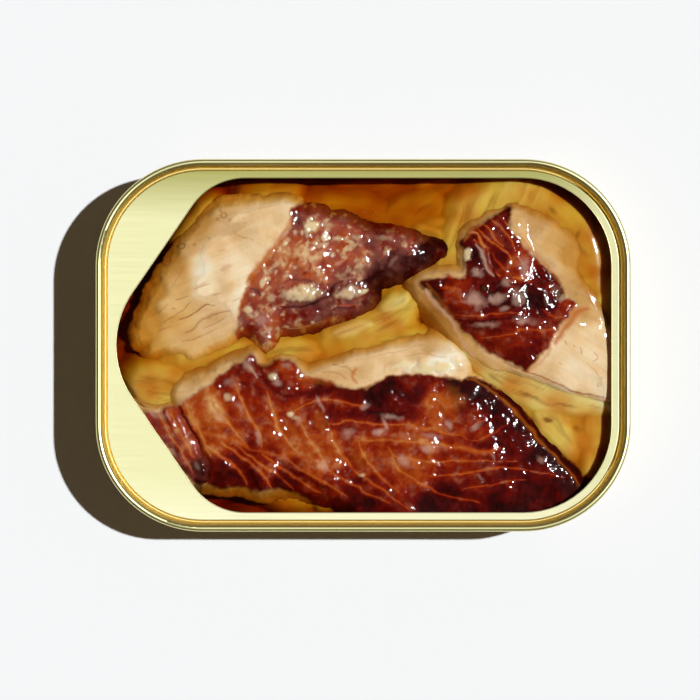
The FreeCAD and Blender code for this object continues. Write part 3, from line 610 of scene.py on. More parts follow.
lowerFillet = {
    "seed": 47, "pitch": 0.22, "ragged": 0.14, "round": 0.3, "shoulder": 3.2, "haze": 0.0, "crumbs": 0.1,
    "fibreAngle": 8, "petals": 0.05, "flank": 1.9, "calmDark": 0.35,
    "outline": [
        (-38.3, -10.2), (-37.2, -8.1), (-34.7, -6.6), (-31.4, -5.6), (-28.9, -4.5), (-26, -3),
        (-24.2, -2.3),
        (-22, -2.1), (-20.8, -4.6), (-18.8, -4.6), (-17.7, -3.6), (-15.6, -2.9), (-13.4, -3.6),
        (-11.6, -5.5),
        (-8.7, -4.7), (-5.1, -3.8), (-1.5, -2.3), (3.2, -1.2), (8.3, 0.2), (12.8, 1.3), (15.3, 1.2),
        (17.7, 0),
        (19.8, -2.1), (21.2, -4), (20.8, -6.4), (22.9, -7.3), (25.7, -8.7), (27.8, -10.5), (30.2, -12.9),
        (31.9, -15.3), (34.4, -18.1), (37.8, -21.2), (40.6, -24.3), (43, -27.5), (45, -30.6), (42, -36),
        (20, -38), (2, -36), (-4, -31.4), (-9, -30.4), (-14.4, -29.2), (-17.4, -29.5), (-20.6, -29.7),
        (-24.2, -28.8), (-28.9, -28.3), (-33.6, -27.8), (-30.4, -24.6), (-33, -20), (-35.5, -15.4),
        (-37.4, -12.8)],
    "heights": [
        (-36, -9, 0), (-30, -7, 0.6), (-25, -4, 0.9), (-20, -6, 0.6), (-15, -4.5, 0.6), (-10, -7, 0.4),
        (-34, -14, 0.7), (-28, -16, 1.3), (-20, -16, 1.4), (-10, -16, 1.4), (0, -14, 1.4), (10, -12, 1.4),
        (20, -13, 1.2), (26, -13, 0.8), (30, -18, 0.8), (36, -23, 0.5), (42, -28, 0.1), (-5, -5, 0.5),
        (0, -3.6, 0.5), (8, -2, 0.3), (14, 0, -0.1), (14, -4, 1), (18, -4, 0.9), (-30, -24, 0.8),
        (-20, -27, 0.7),
        (-8, -27, 0.8), (5, -28, 0.7), (20, -28, 0.6), (32, -28, 0.4), (10, -20, 1.4), (24, -21, 1),
        (0, -33, -0.3), (20, -33, -0.2), (36, -32, -0.2), (-31, -27.4, -0.9), (-24, -28.6, -1.3),
        (-16, -29.3, -1.1), (-9, -30.4, -1.0)],
    "paleTones": [
        (-5, -5.6, 0.4), (0, -4, 0.42), (5, -3, 0.5), (10, -2, 0.42), (15, -3.6, 0.95), (18, -3.6, 0.95),
        (4, -6, 0.7),
        (-35, -9, 0.42), (10, -4.6, 0.85), (-28, -4.8, 0.34), (13, 0, 0.36), (-10, -5.4, 0.4),
        (-37, -12, 0.3), (20, -5.4, 0.6), (-36, -14.4, 0.26), (-32, -25, 0.22), (-25, -28, 0.2),
        (-16, -29, 0.2)],
    "smokedTones": [
        (-30, -13, 0.78), (-25, -12, 0.57), (-20, -14, 0.55), (-10, -12, 0.5), (-5, -14, 0.36),
        (5, -11, 0.3),
        (15, -12, 0.71), (25, -10, 0.15), (30, -18, 0.28), (35, -22, 0.24), (20, -25, 0.42),
        (10, -25, 0.64),
        (30, -30, 0.24), (0, -25, 0.47), (-10, -22, 0.68), (-20, -25, 0.45), (28, -11.4, 0.16),
        (33, -15, 0.16),
        (37.5, -20.6, 0.16), (42, -26.6, 0.14), (4, -9, 0.14), (16, -32, 0.14), (30, -32.6, 0.12),
        (0, -32, 0.2),
        (-33, -10.6, 0.66), (-28, -7.6, 0.5), (-24, -5, 0.4), (-15, -5, 0.6), (-12, -8, 0.6),
        (-18, -8, 0.4),
        (-13, -17, 0.6), (-6, -20, 0.62), (2, -22, 0.6), (12, -21, 0.62), (-27, -24.6, 0.3),
        (-22.6, -26.6, 0.25),
        (-16, -27.6, 0.22), (-30, -20, 0.6), (0.6, -28.6, 0.36), (10, -9, 0.3), (20, -9, 0.12),
        (22, -15.4, 0.5),
        (-8, -8.4, 0.3), (-2, -9.4, 0.25), (26, -26.6, 0.3), (36, -28.6, 0.2)],
    "smoked": [[
        (-38.6, -13.4), (-34.6, -10.2), (-32, -8), (-29, -6), (-25.4, -3.2), (-22.4, -2), (-20.8, -4),
        (-17.4, -3), (-13.6, -3.4), (-11.6, -6), (-8.4, -7), (-4.4, -8.2), (-1, -8.8), (1.6, -8), (3.4, -7),
        (6.8, -6.2), (11, -5.6), (15, -6), (18.4, -6.8), (22.4, -6.4), (29, -9.2), (33.6, -13.8),
        (39.2, -20),
        (45.4, -27.4), (46, -32), (44, -36), (20, -40), (-4, -36), (-14, -30.2), (-22, -29.4), (-28, -28.8),
        (-31.6, -28), (-34.2, -22.4), (-37.2, -17)]],
    "lines": [
        (0.34, 0.8, 0.2, [(-31.6, -8.4), (-30.5, -11.8), (-27.9, -15), (-25.6, -17.9), (-23.4, -20.2)]),
        (0.34, 0.8, 0.2, [(-25.6, -8), (-24.7, -11.2), (-23.1, -14.4), (-21.1, -17.6), (-20.5, -20.4)]),
        (0.34, 0.8, 0.2, [(-19.2, -9.6), (-18.2, -14), (-16.6, -17.6), (-14.7, -20.2), (-13.1, -22.1)]),
        (0.28, 0.7, 0.15, [(-12.8, -15.3), (-10.9, -18.9), (-8.9, -22.1), (-7.3, -24.7)]),
        (0.3, 0.7, 0.15, [(-7, -16.3), (-5.7, -20.2), (-3.1, -23.7), (-0.9, -26.3)]),
        (0.3, 0.7, 0.15, [(-1.2, -19.5), (0.4, -22.7), (3.3, -26.3), (7.2, -29.7)]),
        (0.7, 0.55, 0.1, [(-33.4, -17.6), (-28.5, -18.4), (-25, -19.8), (-22.4, -21.1)]),
        (0.6, 0.5, 0.1, [(-22.4, -21.1), (-17.3, -22.1), (-13.1, -22.2), (-9.2, -23.6)]),
        (0.4, 0.8, 0.2, [(-32.4, -19.5), (-28.5, -22.7), (-25, -25.6), (-23.6, -28.4)]),
        (0.36, 0.8, 0.2, [(-28.9, -19.5), (-25, -22.4), (-21.1, -25.6), (-18.4, -29)]),
        (0.36, 0.8, 0.2, [(-25, -20.8), (-20.5, -24.3), (-16.3, -27.2), (-13.8, -29.4)]),
        (0.36, 0.75, 0.2, [(-20.5, -22.1), (-16.3, -25), (-12.1, -27.9), (-8.8, -30.2)]),
        (0.32, 0.75, 0.15, [(-15.7, -22.7), (-12.1, -25.6), (-7.6, -27.9), (-3.2, -30.8)]),
        (0.3, 0.7, 0.15, [(-7.6, -24.7), (-2.8, -27.9), (2, -30.4), (5.6, -32)]),
        (0.28, 0.65, 0.15, [(-4.4, -23.4), (0.4, -26.9), (4.8, -30), (9, -33)]),
        (0.26, 0.7, 0.1, [(-13.8, -13.2), (-10, -11.4), (-6.8, -10.9), (-2, -12), (0.6, -12.4)]),
        (0.28, 0.7, 0.1, [(-7, -16.1), (-2.6, -15.3), (3.4, -15.9), (8.4, -15.8)]),
        (0.6, 0.65, -0.05, [(8, -15.8), (12, -16.6), (16, -17.6), (19.4, -18.1)]),
        (0.24, 0.5, 0.1, [(19.4, -18.1), (22.6, -19.2), (26, -18), (29.6, -15.4)]),
        (0.7, 0.7, -0.1, [(15.6, -20.2), (20, -20.9), (24.1, -21.7), (27.6, -20.8)]),
        (0.24, 0.65, 0.1, [(-1.2, -19.4), (3.4, -19.1), (9.3, -19.6), (15.6, -20.2)]),
        (0.22, 0.7, 0.1, [(5.2, -20.8), (6.9, -22.6), (13.1, -23.5), (20, -23.5), (31, -23.4)]),
        (0.22, 0.7, 0.1, [(13.7, -26.5), (18.8, -26.2), (23.5, -25.3), (28.8, -24.7), (33, -25.2),
                          (41, -26.8)]),
        (0.22, 0.6, 0.1, [(20, -29.4), (24.7, -28.5), (29.4, -27.6), (33, -27.2)]),
        (0.26, 0.7, 0.1, [(6, -22.6), (7.8, -25.6), (13.1, -28.5), (16.7, -30.3), (23.5, -31.8)]),
        (0.4, 0.75, 0.1, [(-36.2, -11.6), (-34.6, -14.6), (-32.6, -18.6), (-31, -22.6)])],
    "shadedSeams": [
        (0.34, 0.95, 0.9, [(-37.6, -12.2), (-35.8, -15.2), (-33.4, -20), (-31, -25.4)]),
        (0.4, 0.5, 0.4, [(-20.6, -4.6), (-20.2, -7), (-18.4, -9), (-16, -10)]),
        (0.35, 0.4, 0.3, [(-25.3, -7.4), (-22.4, -8.2), (-20.2, -9.4)]),
        (0.3, 0.6, 0.3, [(-8.6, -6.8), (-9, -8.4), (-7.4, -9.6)]),
        (0.45, 0.8, 0.4, [(0.8, -13.4), (4, -14.2), (9, -13.8)]),
        (0.3, 0.8, 0.3, [(21.6, -17.2), (25, -15.6), (27, -13)]),
        (0.8, 0.6, 0.2, [(-16, -10.4), (-11, -9.8), (-6, -9)]),
        (1.0, 0.5, 0.1, [(21.6, -7.6), (26.4, -11), (31, -16), (36, -21.6), (41.4, -27.4)]),
        (0.7, 0.7, 0.1, [(-27.6, -25.4), (-24.8, -27)]), (0.6, 0.7, 0.1, [(-23, -25.4), (-20.4, -27.6)]),
        (0.6, 0.7, 0.1, [(-18.8, -26), (-15.8, -28)]), (0.5, 0.6, 0.1, [(-12.6, -25.8), (-9, -28.2)])],
    "cracks": [
        (0.14, 0.5, 0.1, [(-6, -3.8), (-3.4, -4.4), (-1.4, -6)]),
        (0.14, 0.35, 0.1, [(8, -2.2), (12, -1.8), (17, -2.4)]),
        (0.12, 0.35, 0.1, [(-34.6, -6.8), (-34, -7.6)]),
        (0.16, 0.45, 0.1, [(-8.4, -5.4), (-5, -5.6), (-3, -6.8)]),
        (0.14, 0.3, 0.1, [(2, -2.4), (7, -1.2), (12, 0)]),
        (0.12, 0.3, 0.1, [(-35, -11), (-33.6, -9.6)])],
    "glow": [
        # this first glow stroke is a painted lit patch
        (2.2, 0.45, 0, [(14.6, -10.4), (17.6, -11.2), (19.8, -11.4)]),
        (0.35, 0.6, 0, [(21.2, -6.8), (24, -8), (27.6, -10.4), (31.8, -14.5), (35.3, -18.8), (40.4, -24),
                        (44, -28.6)]),
        (1.0, 0.35, 0, [(-16, -15), (-13, -19)]), (1.1, 0.35, 0, [(-9.4, -13.6), (-8, -17)]),
        (1.2, 0.3, 0, [(-2.6, -21), (0, -24.5)]), (0.9, 0.35, 0, [(-13, -6.8), (-6, -7.6)]),
        (0.45, 0.7, 0, [(-1.6, -4.8), (-2, -6.4), (-1, -7.6)])],
    "paintedGlints": [(0.26, 0.7, -0.1, [(-24.2, -3.2), (-22.6, -4.6), (-21.4, -6.6)])],
    "curds": [
        (-14.7, -13.9, 1.1, 0.8, 0, 0.8, 0.2), (-0.2, -26.3, 1, 0.7, 0, 0.75, 0.2),
        (-27.4, -10.6, 1.2, 0.9, 0, 0.5, 0.2),
        (-18.6, -6.4, 1.2, 1.1, 0, 0.6, 0.4), (-22.6, -4.4, 2, 1.2, -50, 0.1, 0.45),
        (-15.4, -4.8, 2, 1.1, 0, 0, 0.4),
        (14.2, -4.6, 6, 1.4, 3, 1, 0.5), (7, -4.2, 4, 1, 14, 0.6, 0.35),
        (19.4, -3.6, 1.6, 1.7, 0, 0.9, 0.4),
        (4.4, -10.4, 3.2, 2.2, 0, 0, 0.4), (17, -11, 3.6, 2, 0, 0, 0.4),
        (24, -12.4, 2.8, 2.2, 130, 0, 0.35),
        (-12.4, -9, 1.6, 1.1, 0, 0, 0.3), (-13.6, -14.8, 1.6, 0.7, -20, 0.4, 0.1)],
    "filmAndPaintedSheen": [
        (3.4, -17.4, 1.8, 1.2, 0, 1, 0.15), (-8.8, -11.6, 2.4, 0.6, -62, 0.8, 0),
        (4.2, -15.8, 2.2, 0.6, -66, 0.8, 0),
        (0.4, -12.4, 1.4, 0.8, 20, 0.6, 0), (-25, -12.6, 1.8, 0.8, 120, 0.45, 0),
        (5.6, -14.4, 3.2, 0.8, -4, 0.8, 0), (12.8, -21, 2.4, 0.8, -10, 0.75, 0),
        (8.4, -23.6, 2.6, 1.2, -48, 0.75, 0.1), (17.6, -16, 1, 1.5, 20, 0.75, 0),
        (22.9, -16.6, 1.7, 0.9, 30, 0.65, 0),
        (13.9, -18.5, 2.8, 0.8, -12, 0.6, 0), (-3, -17.8, 2, 1.2, 20, 0.65, 0),
        (-21.3, -18.6, 2.2, 0.8, 100, 0.75, 0),
        (-8.2, -24.4, 1.7, 1.5, 0, 0.6, 0.1), (-23.3, -4.2, 2.2, 1.1, -50, 0.85, 0),
        (-27.2, -7.4, 2, 1.4, 20, 0.65, 0),
        (-8.4, -12.4, 1.8, 0.4, 100, 0.75, 0), (-13, -15.6, 1.6, 0.8, 20, 0.45, 0),
        (26.4, -22.6, 1.6, 0.5, 110, 0.6, 0),
        (36, -23.2, 1.4, 0.7, -50, 0.5, 0), (-17.4, -7.6, 1.6, 1, 0, 0.7, 0.1),
        (-15.6, -4, 1.4, 0.8, 0, 0.6, 0),
        (24, -26.8, 1.4, 0.5, -60, 0.4, 0), (-29, -14.6, 1.8, 0.8, 130, 0.4, 0)],
}

looseFlake = {
    "seed": 71, "pitch": 0.2, "ragged": 0.14, "round": 0.3, "shoulder": 1.6, "haze": 0.05, "crumbs": 0.15,
    "fibreAngle": -55, "petals": 0.03, "flank": 2.4, "calmDark": 0.6,
    "outline": [
        (-47.6, -11), (-45, -11.9), (-42, -13), (-39.4, -12.4), (-37.8, -12.9), (-36.6, -15),
        (-34.4, -18.8),
        (-32.6, -22.2), (-31, -25.2), (-31.6, -27.2), (-34, -27.8), (-36, -28.4), (-41, -29), (-46, -26),
        (-49.5, -20), (-50, -14)],
    "heights": [(-46, -12, -0.7), (-42, -14, 0.2), (-39, -15, 0.6), (-36, -20, 0.6), (-33, -25, 0.5),
                (-45, -20, 0.2), (-38, -27, 0.1), (-39.6, -20, 0)],
    "paleTones": [(-46, -13, 0.3), (-42, -16, 0.4), (-38, -22, 0.4), (-35, -26.6, 0.35)],
    "smokedTones": [(-43, -14.6, 0.5), (-41, -16, 0.45), (-38.6, -19.6, 0.4), (-39.4, -14.4, 0.6),
                    (-37.4, -17, 0.62), (-35, -21, 0.55), (-37.6, -22.6, 0.35), (-33.6, -25, 0.2)],
    "smoked": [[
        (-44.6, -13.2), (-42, -13.4), (-39.6, -12.2), (-36.4, -12), (-35, -15), (-32.8, -18.8),
        (-30.8, -22.4), (-29, -27), (-34, -27.9), (-37, -24.6), (-40, -20.6), (-43.6, -16.2)]],
    "lines": [
        (0.3, 0.8, 0.2, [(-41.4, -13.6), (-40, -16.4), (-38.4, -19), (-36.4, -22.2), (-34.4, -26)]),
        (0.28, 0.7, 0.1, [(-39.2, -13.2), (-38, -15.6), (-36.2, -19), (-34, -23)])],
    "shadedSeams": [(0.25, 0.8, 0.3, [(-40.4, -13), (-39.6, -15.6), (-37.8, -18.2)])],
    "cracks": [(0.2, 0.6, 0.2, [(-45.6, -13.6), (-43.4, -16.6), (-40.6, -20.4)])],
    "glow": [(0.5, 0.4, 0, [(-46, -14.4), (-43, -17), (-39, -22.6)])],
    "paintedGlints": [(0.2, 0.5, 0, [(-39.8, -13), (-39, -15.4)])],
    "curds": [(-41.2, -14, 1.4, 0.9, -40, 0.2, 0.3), (-36.6, -16.4, 2.5, 0.8, 115, 0, 0.35),
              (-32.6, -24.6, 2, 1, 115, 0, 0.4)],
    "filmAndPaintedSheen": [(-42.6, -14, 1.2, 0.7, -40, 0.7, 0), (-33.6, -24.4, 1.6, 0.8, 115, 0.55, 0),
             (-39.4, -14.2, 1.2, 0.5, -50, 0.6, 0), (-38.6, -21.6, 1.4, 0.5, -55, 0.5, 0)],
}

# What all the fish pieces share, with sizes and heights in millimetres
fleshRules = {
    "flankStart": 0.35, "flankSoft": 0.6, "hiddenRim": 2.4, "wallClearance": 0.08,
    "warp": 0.35, "warpMm": 2.2, "raggedMm": 0.9,
    "strokes": [("lines", 7), ("shadedSeams", 11), ("cracks", 13), ("glow", 15), ("paintedGlints", 21)],
    "strokeMm": 1.2, "skirtMm": 1.0, "grooveShare": 0.2,
    "lineTone": 0.86, "skirtTone": 0.12, "channelShade": 0.6, "paleChannelShade": 0.08,
    "lumps": {  # size, seed and octaves
        "fray": (1.7, 3, 4), "lumps": (2.4, 23, 2), "pebbles": (0.8, 25, 2), "milky": (3.6, 27, 3),
        "creases": (2.0, 29, 2), "glisten": (5.0, 33, 2), "haze": (2.0, 41, 3), "crumbs": (1.1, 43, 3)},
    "grain": {  # length, width and seed
        "petals": (14.0, 2.4, 0), "fray": (4.0, 0.9, 5), "shreds": (6.0, 0.7, 37)},
    "frayShare": 0.7, "frayFibres": 0.2, "fraySoft": 0.5,
    "smokedTone": {"lumps": 0.15, "pebbles": 0.07},
    "paleTone": {"milky": 0.14, "petals": 0.10, "shreds": 0.05},
    "lumpHeight": 0.13, "pebbleHeight": 0.06, "creaseHeight": 0.09, "wetHeight": 0.05, "shredHeight": 0.02,
    "darkTone": (0.1, 0.4), "calmFilm": 0.8, "sparkleSmoked": 0.5, "sparklePale": 0.9,
    "curdEdge": (0.5, 0.7), "filmEdge": (0.4, 0.9), "filmShare": 0.75, "filmLumps": 0.15, "bulge": 1.3,
    "glistenEdge": (-0.2, 0.5), "crumbEdge": (-0.05, 0.7), "crumbLumps": 0.3, "crumbTone": (0.3, 0.6),
    "hazeLevel": 0.8, "hazeSwing": 1.3, "wetEdge": (-0.05, 0.10),
    "strokeSwell": 0.5, "strokeEnd": 0.4, "thinnest": 0.04,
}


def insideAny(x, y, outlines):
    best = np.full(x.shape, -9.0)
    for outline in outlines:
        best = np.maximum(best, insideReach(x, y, curveThrough(outline, True)))
    return best


def strokeField(x, y, lines, seed):
    # the share, the groove and a wide soft share of all strokes together
    share = np.zeros(x.shape)
    groove = np.zeros(x.shape)
    skirt = np.zeros(x.shape)
    rules = fleshRules
    swell = 1 + rules["strokeSwell"] * noise(x, y, rules["strokeMm"], seed, 2)
    for width, strength, depth, points in lines:
        distance, place = lineReach(x, y, curveThrough(points, False), 5.0)
        taper = rules["strokeEnd"] + (1 - rules["strokeEnd"]) * np.sin(place * math.pi)
        shape = np.exp(-(distance / np.maximum(width * swell * taper, rules["thinnest"])) ** 2)
        share = np.maximum(share, strength * shape)
        cut = rules["grooveShare"] * depth * shape
        groove = np.where(np.abs(cut) > np.abs(groove), cut, groove)
        skirt = np.maximum(skirt, strength * np.exp(-(distance / rules["skirtMm"]) ** 2))
    return share, groove, skirt


def patchField(x, y, ovals, ragged, soft, seed):
    # the share and the bulge of all patches together, with uneven edges
    share = np.zeros(x.shape)
    swell = np.zeros(x.shape)
    uneven = ragged * noise(x, y, fleshRules["strokeMm"], seed, 3)
    for oval in ovals:
        inside = ovalShare(x, y, oval) + uneven
        share = np.maximum(share, oval[5] * smoothStep(0, soft, inside))
        swell = np.maximum(swell, oval[6] * np.sqrt(np.clip(inside * fleshRules["bulge"], 0, 1)))
    return share, swell


def swayed(x, y, seed):
    warp = fleshRules["warp"]
    size = fleshRules["warpMm"]
    return x + warp * noise(x, y, size, seed, 2), y + warp * noise(x, y, size, seed + 31, 2)


def fishReach(piece, x, y):
    seed = piece["seed"]
    wx, wy = swayed(x, y, seed)
    reach = insideReach(wx, wy, curveThrough(piece["outline"], True, 3))
    return reach + piece["ragged"] * noise(x, y, fleshRules["raggedMm"], seed + 57, 2)


def fishSurface(piece, x, y):
    # heights in the tin, and the shares that the flesh finish reads
    rules = fleshRules
    seed = piece["seed"]
    wx, wy = swayed(x, y, seed)

    def lumpy(kind, u=x, v=y):
        size, offset, octaves = rules["lumps"][kind]
        return noise(u, v, size, seed + offset, octaves)

    def grained(kind):
        length, width, offset = rules["grain"][kind]
        return fibres(x, y, piece["fibreAngle"], length, width, seed + offset)

    reach = fishReach(piece, x, y)
    under = np.maximum(rules["flankStart"] - reach, 0)
    height = blendPlaces(x, y, piece["heights"])
    height = height - piece["flank"] * under * under / (under + rules["flankSoft"])
    height = height - piece["round"] * (1 - np.sin(np.clip(reach / piece["shoulder"], 0, 1) * math.pi / 2))

    fray = rules["frayShare"] * lumpy("fray") + rules["frayFibres"] * grained("fray")
    smoke = insideAny(wx, wy, piece["smoked"]) + fray
    smoke = smoothStep(-rules["fraySoft"], rules["fraySoft"], smoke)
    shares = {}
    skirts = {}
    for kind, offset in rules["strokes"]:
        shares[kind], groove, skirts[kind] = strokeField(wx, wy, piece[kind], seed + offset)
        height = height - groove
    curd, swell = patchField(wx, wy, piece["curds"], *rules["curdEdge"], seed + 17)
    height = height + swell
    filmAndPaintedSheen, swell = patchField(wx, wy, piece["filmAndPaintedSheen"], *rules["filmEdge"], seed + 19)
    height = height + swell

    lumps = lumpy("lumps")
    pebbles = lumpy("pebbles")
    petals = grained("petals")
    shreds = grained("shreds")
    smokedTone = blendPlaces(x, y, piece["smokedTones"]) + rules["skirtTone"] * skirts["lines"]
    smokedTone = smokedTone + rules["smokedTone"]["lumps"] * lumps + rules["smokedTone"]["pebbles"] * pebbles
    smokedTone = smokedTone + (rules["lineTone"] - smokedTone) * shares["lines"]
    # the seam channels darken the flesh: partly its own dark seams, partly painted shade in the grooves and
    # under the curds
    smokedTone = smokedTone * (1 - rules["channelShade"] * shares["shadedSeams"])
    paleTone = blendPlaces(x, y, piece["paleTones"]) - rules["paleChannelShade"] * shares["shadedSeams"]
    for kind, field in (("milky", lumpy("milky")), ("petals", petals), ("shreds", shreds)):
        paleTone = paleTone + rules["paleTone"][kind] * field
    tone = np.clip(paleTone + (smokedTone - paleTone) * smoke, 0, 1)

    light = smoothStep(*rules["darkTone"], tone)
    calm = (1 - rules["calmFilm"] * filmAndPaintedSheen) * (piece["calmDark"] + (1 - piece["calmDark"]) * light)
    creases = 1 - 2 * np.abs(lumpy("creases", wx, wy))
    height = height + smoke * calm * (rules["lumpHeight"] * lumps + rules["pebbleHeight"] * pebbles
                                      + rules["creaseHeight"] * creases)
    glisten = smoothStep(*rules["glistenEdge"], lumpy("glisten"))
    height = height + (1 - smoke) * (rules["wetHeight"] * glisten * pebbles
                                     + rules["shredHeight"] * shreds + piece["petals"] * petals)

    sparkle = rules["sparkleSmoked"] * smoke * calm + rules["sparklePale"] * (1 - smoke) * glisten
    crumbs = smoothStep(*rules["crumbEdge"], lumpy("crumbs", wx, wy) + rules["crumbLumps"] * lumps)
    curd = np.maximum(curd, piece["crumbs"] * crumbs * smoke * smoothStep(*rules["crumbTone"], tone))
    # haze, a milky veil over the lighter smoked flesh, and the painted glints of the gleam strokes join the
    # film share, so they take the film colour and its painted lilac sheen
    haze = np.clip(rules["hazeLevel"] + rules["hazeSwing"] * lumpy("haze"), 0, 1)
    haze = piece["haze"] * smoke * light * haze
    filmAndPaintedSheen = rules["filmShare"] * filmAndPaintedSheen * (1 - rules["filmLumps"] + rules["filmLumps"] * lumps)
    filmAndPaintedSheen = np.maximum(filmAndPaintedSheen, haze)
    filmAndPaintedSheen = np.maximum(filmAndPaintedSheen, shares["paintedGlints"])
    top = oilTop(x, y) - tin["oilLevel"]
    path = np.maximum(top - height, 0)
    masks = {"tone": tone, "smoke": smoke, "curd": curd, "glow": shares["glow"], "crack": shares["cracks"],
             "filmAndPaintedSheen": filmAndPaintedSheen, "sparkle": sparkle, "wet": smoothStep(*rules["wetEdge"], height - top),
             "oilPath": path}
    return tin["oilLevel"] + height + (1 - oilColour["seenDepth"]) * path, masks


def fishPieceFrom(name, node, piece, material):
    points = np.array(piece["outline"])
    margin = 1.4
    low = points.min(0) - margin
    high = points.max(0) + margin

    def keep(x, y):
        return np.minimum(fishReach(piece, x, y) + fleshRules["hiddenRim"],
                          roomReach(x, y, tin["roomInset"]) - fleshRules["wallClearance"])

    def surface(x, y):
        return fishSurface(piece, x, y)

    made = reliefPiece(name, low, high, piece["pitch"], keep, surface, tin["deepest"], material)
    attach(made, "root")
    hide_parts(node)
    print(name, "made,", len(made.data.polygons), "faces")


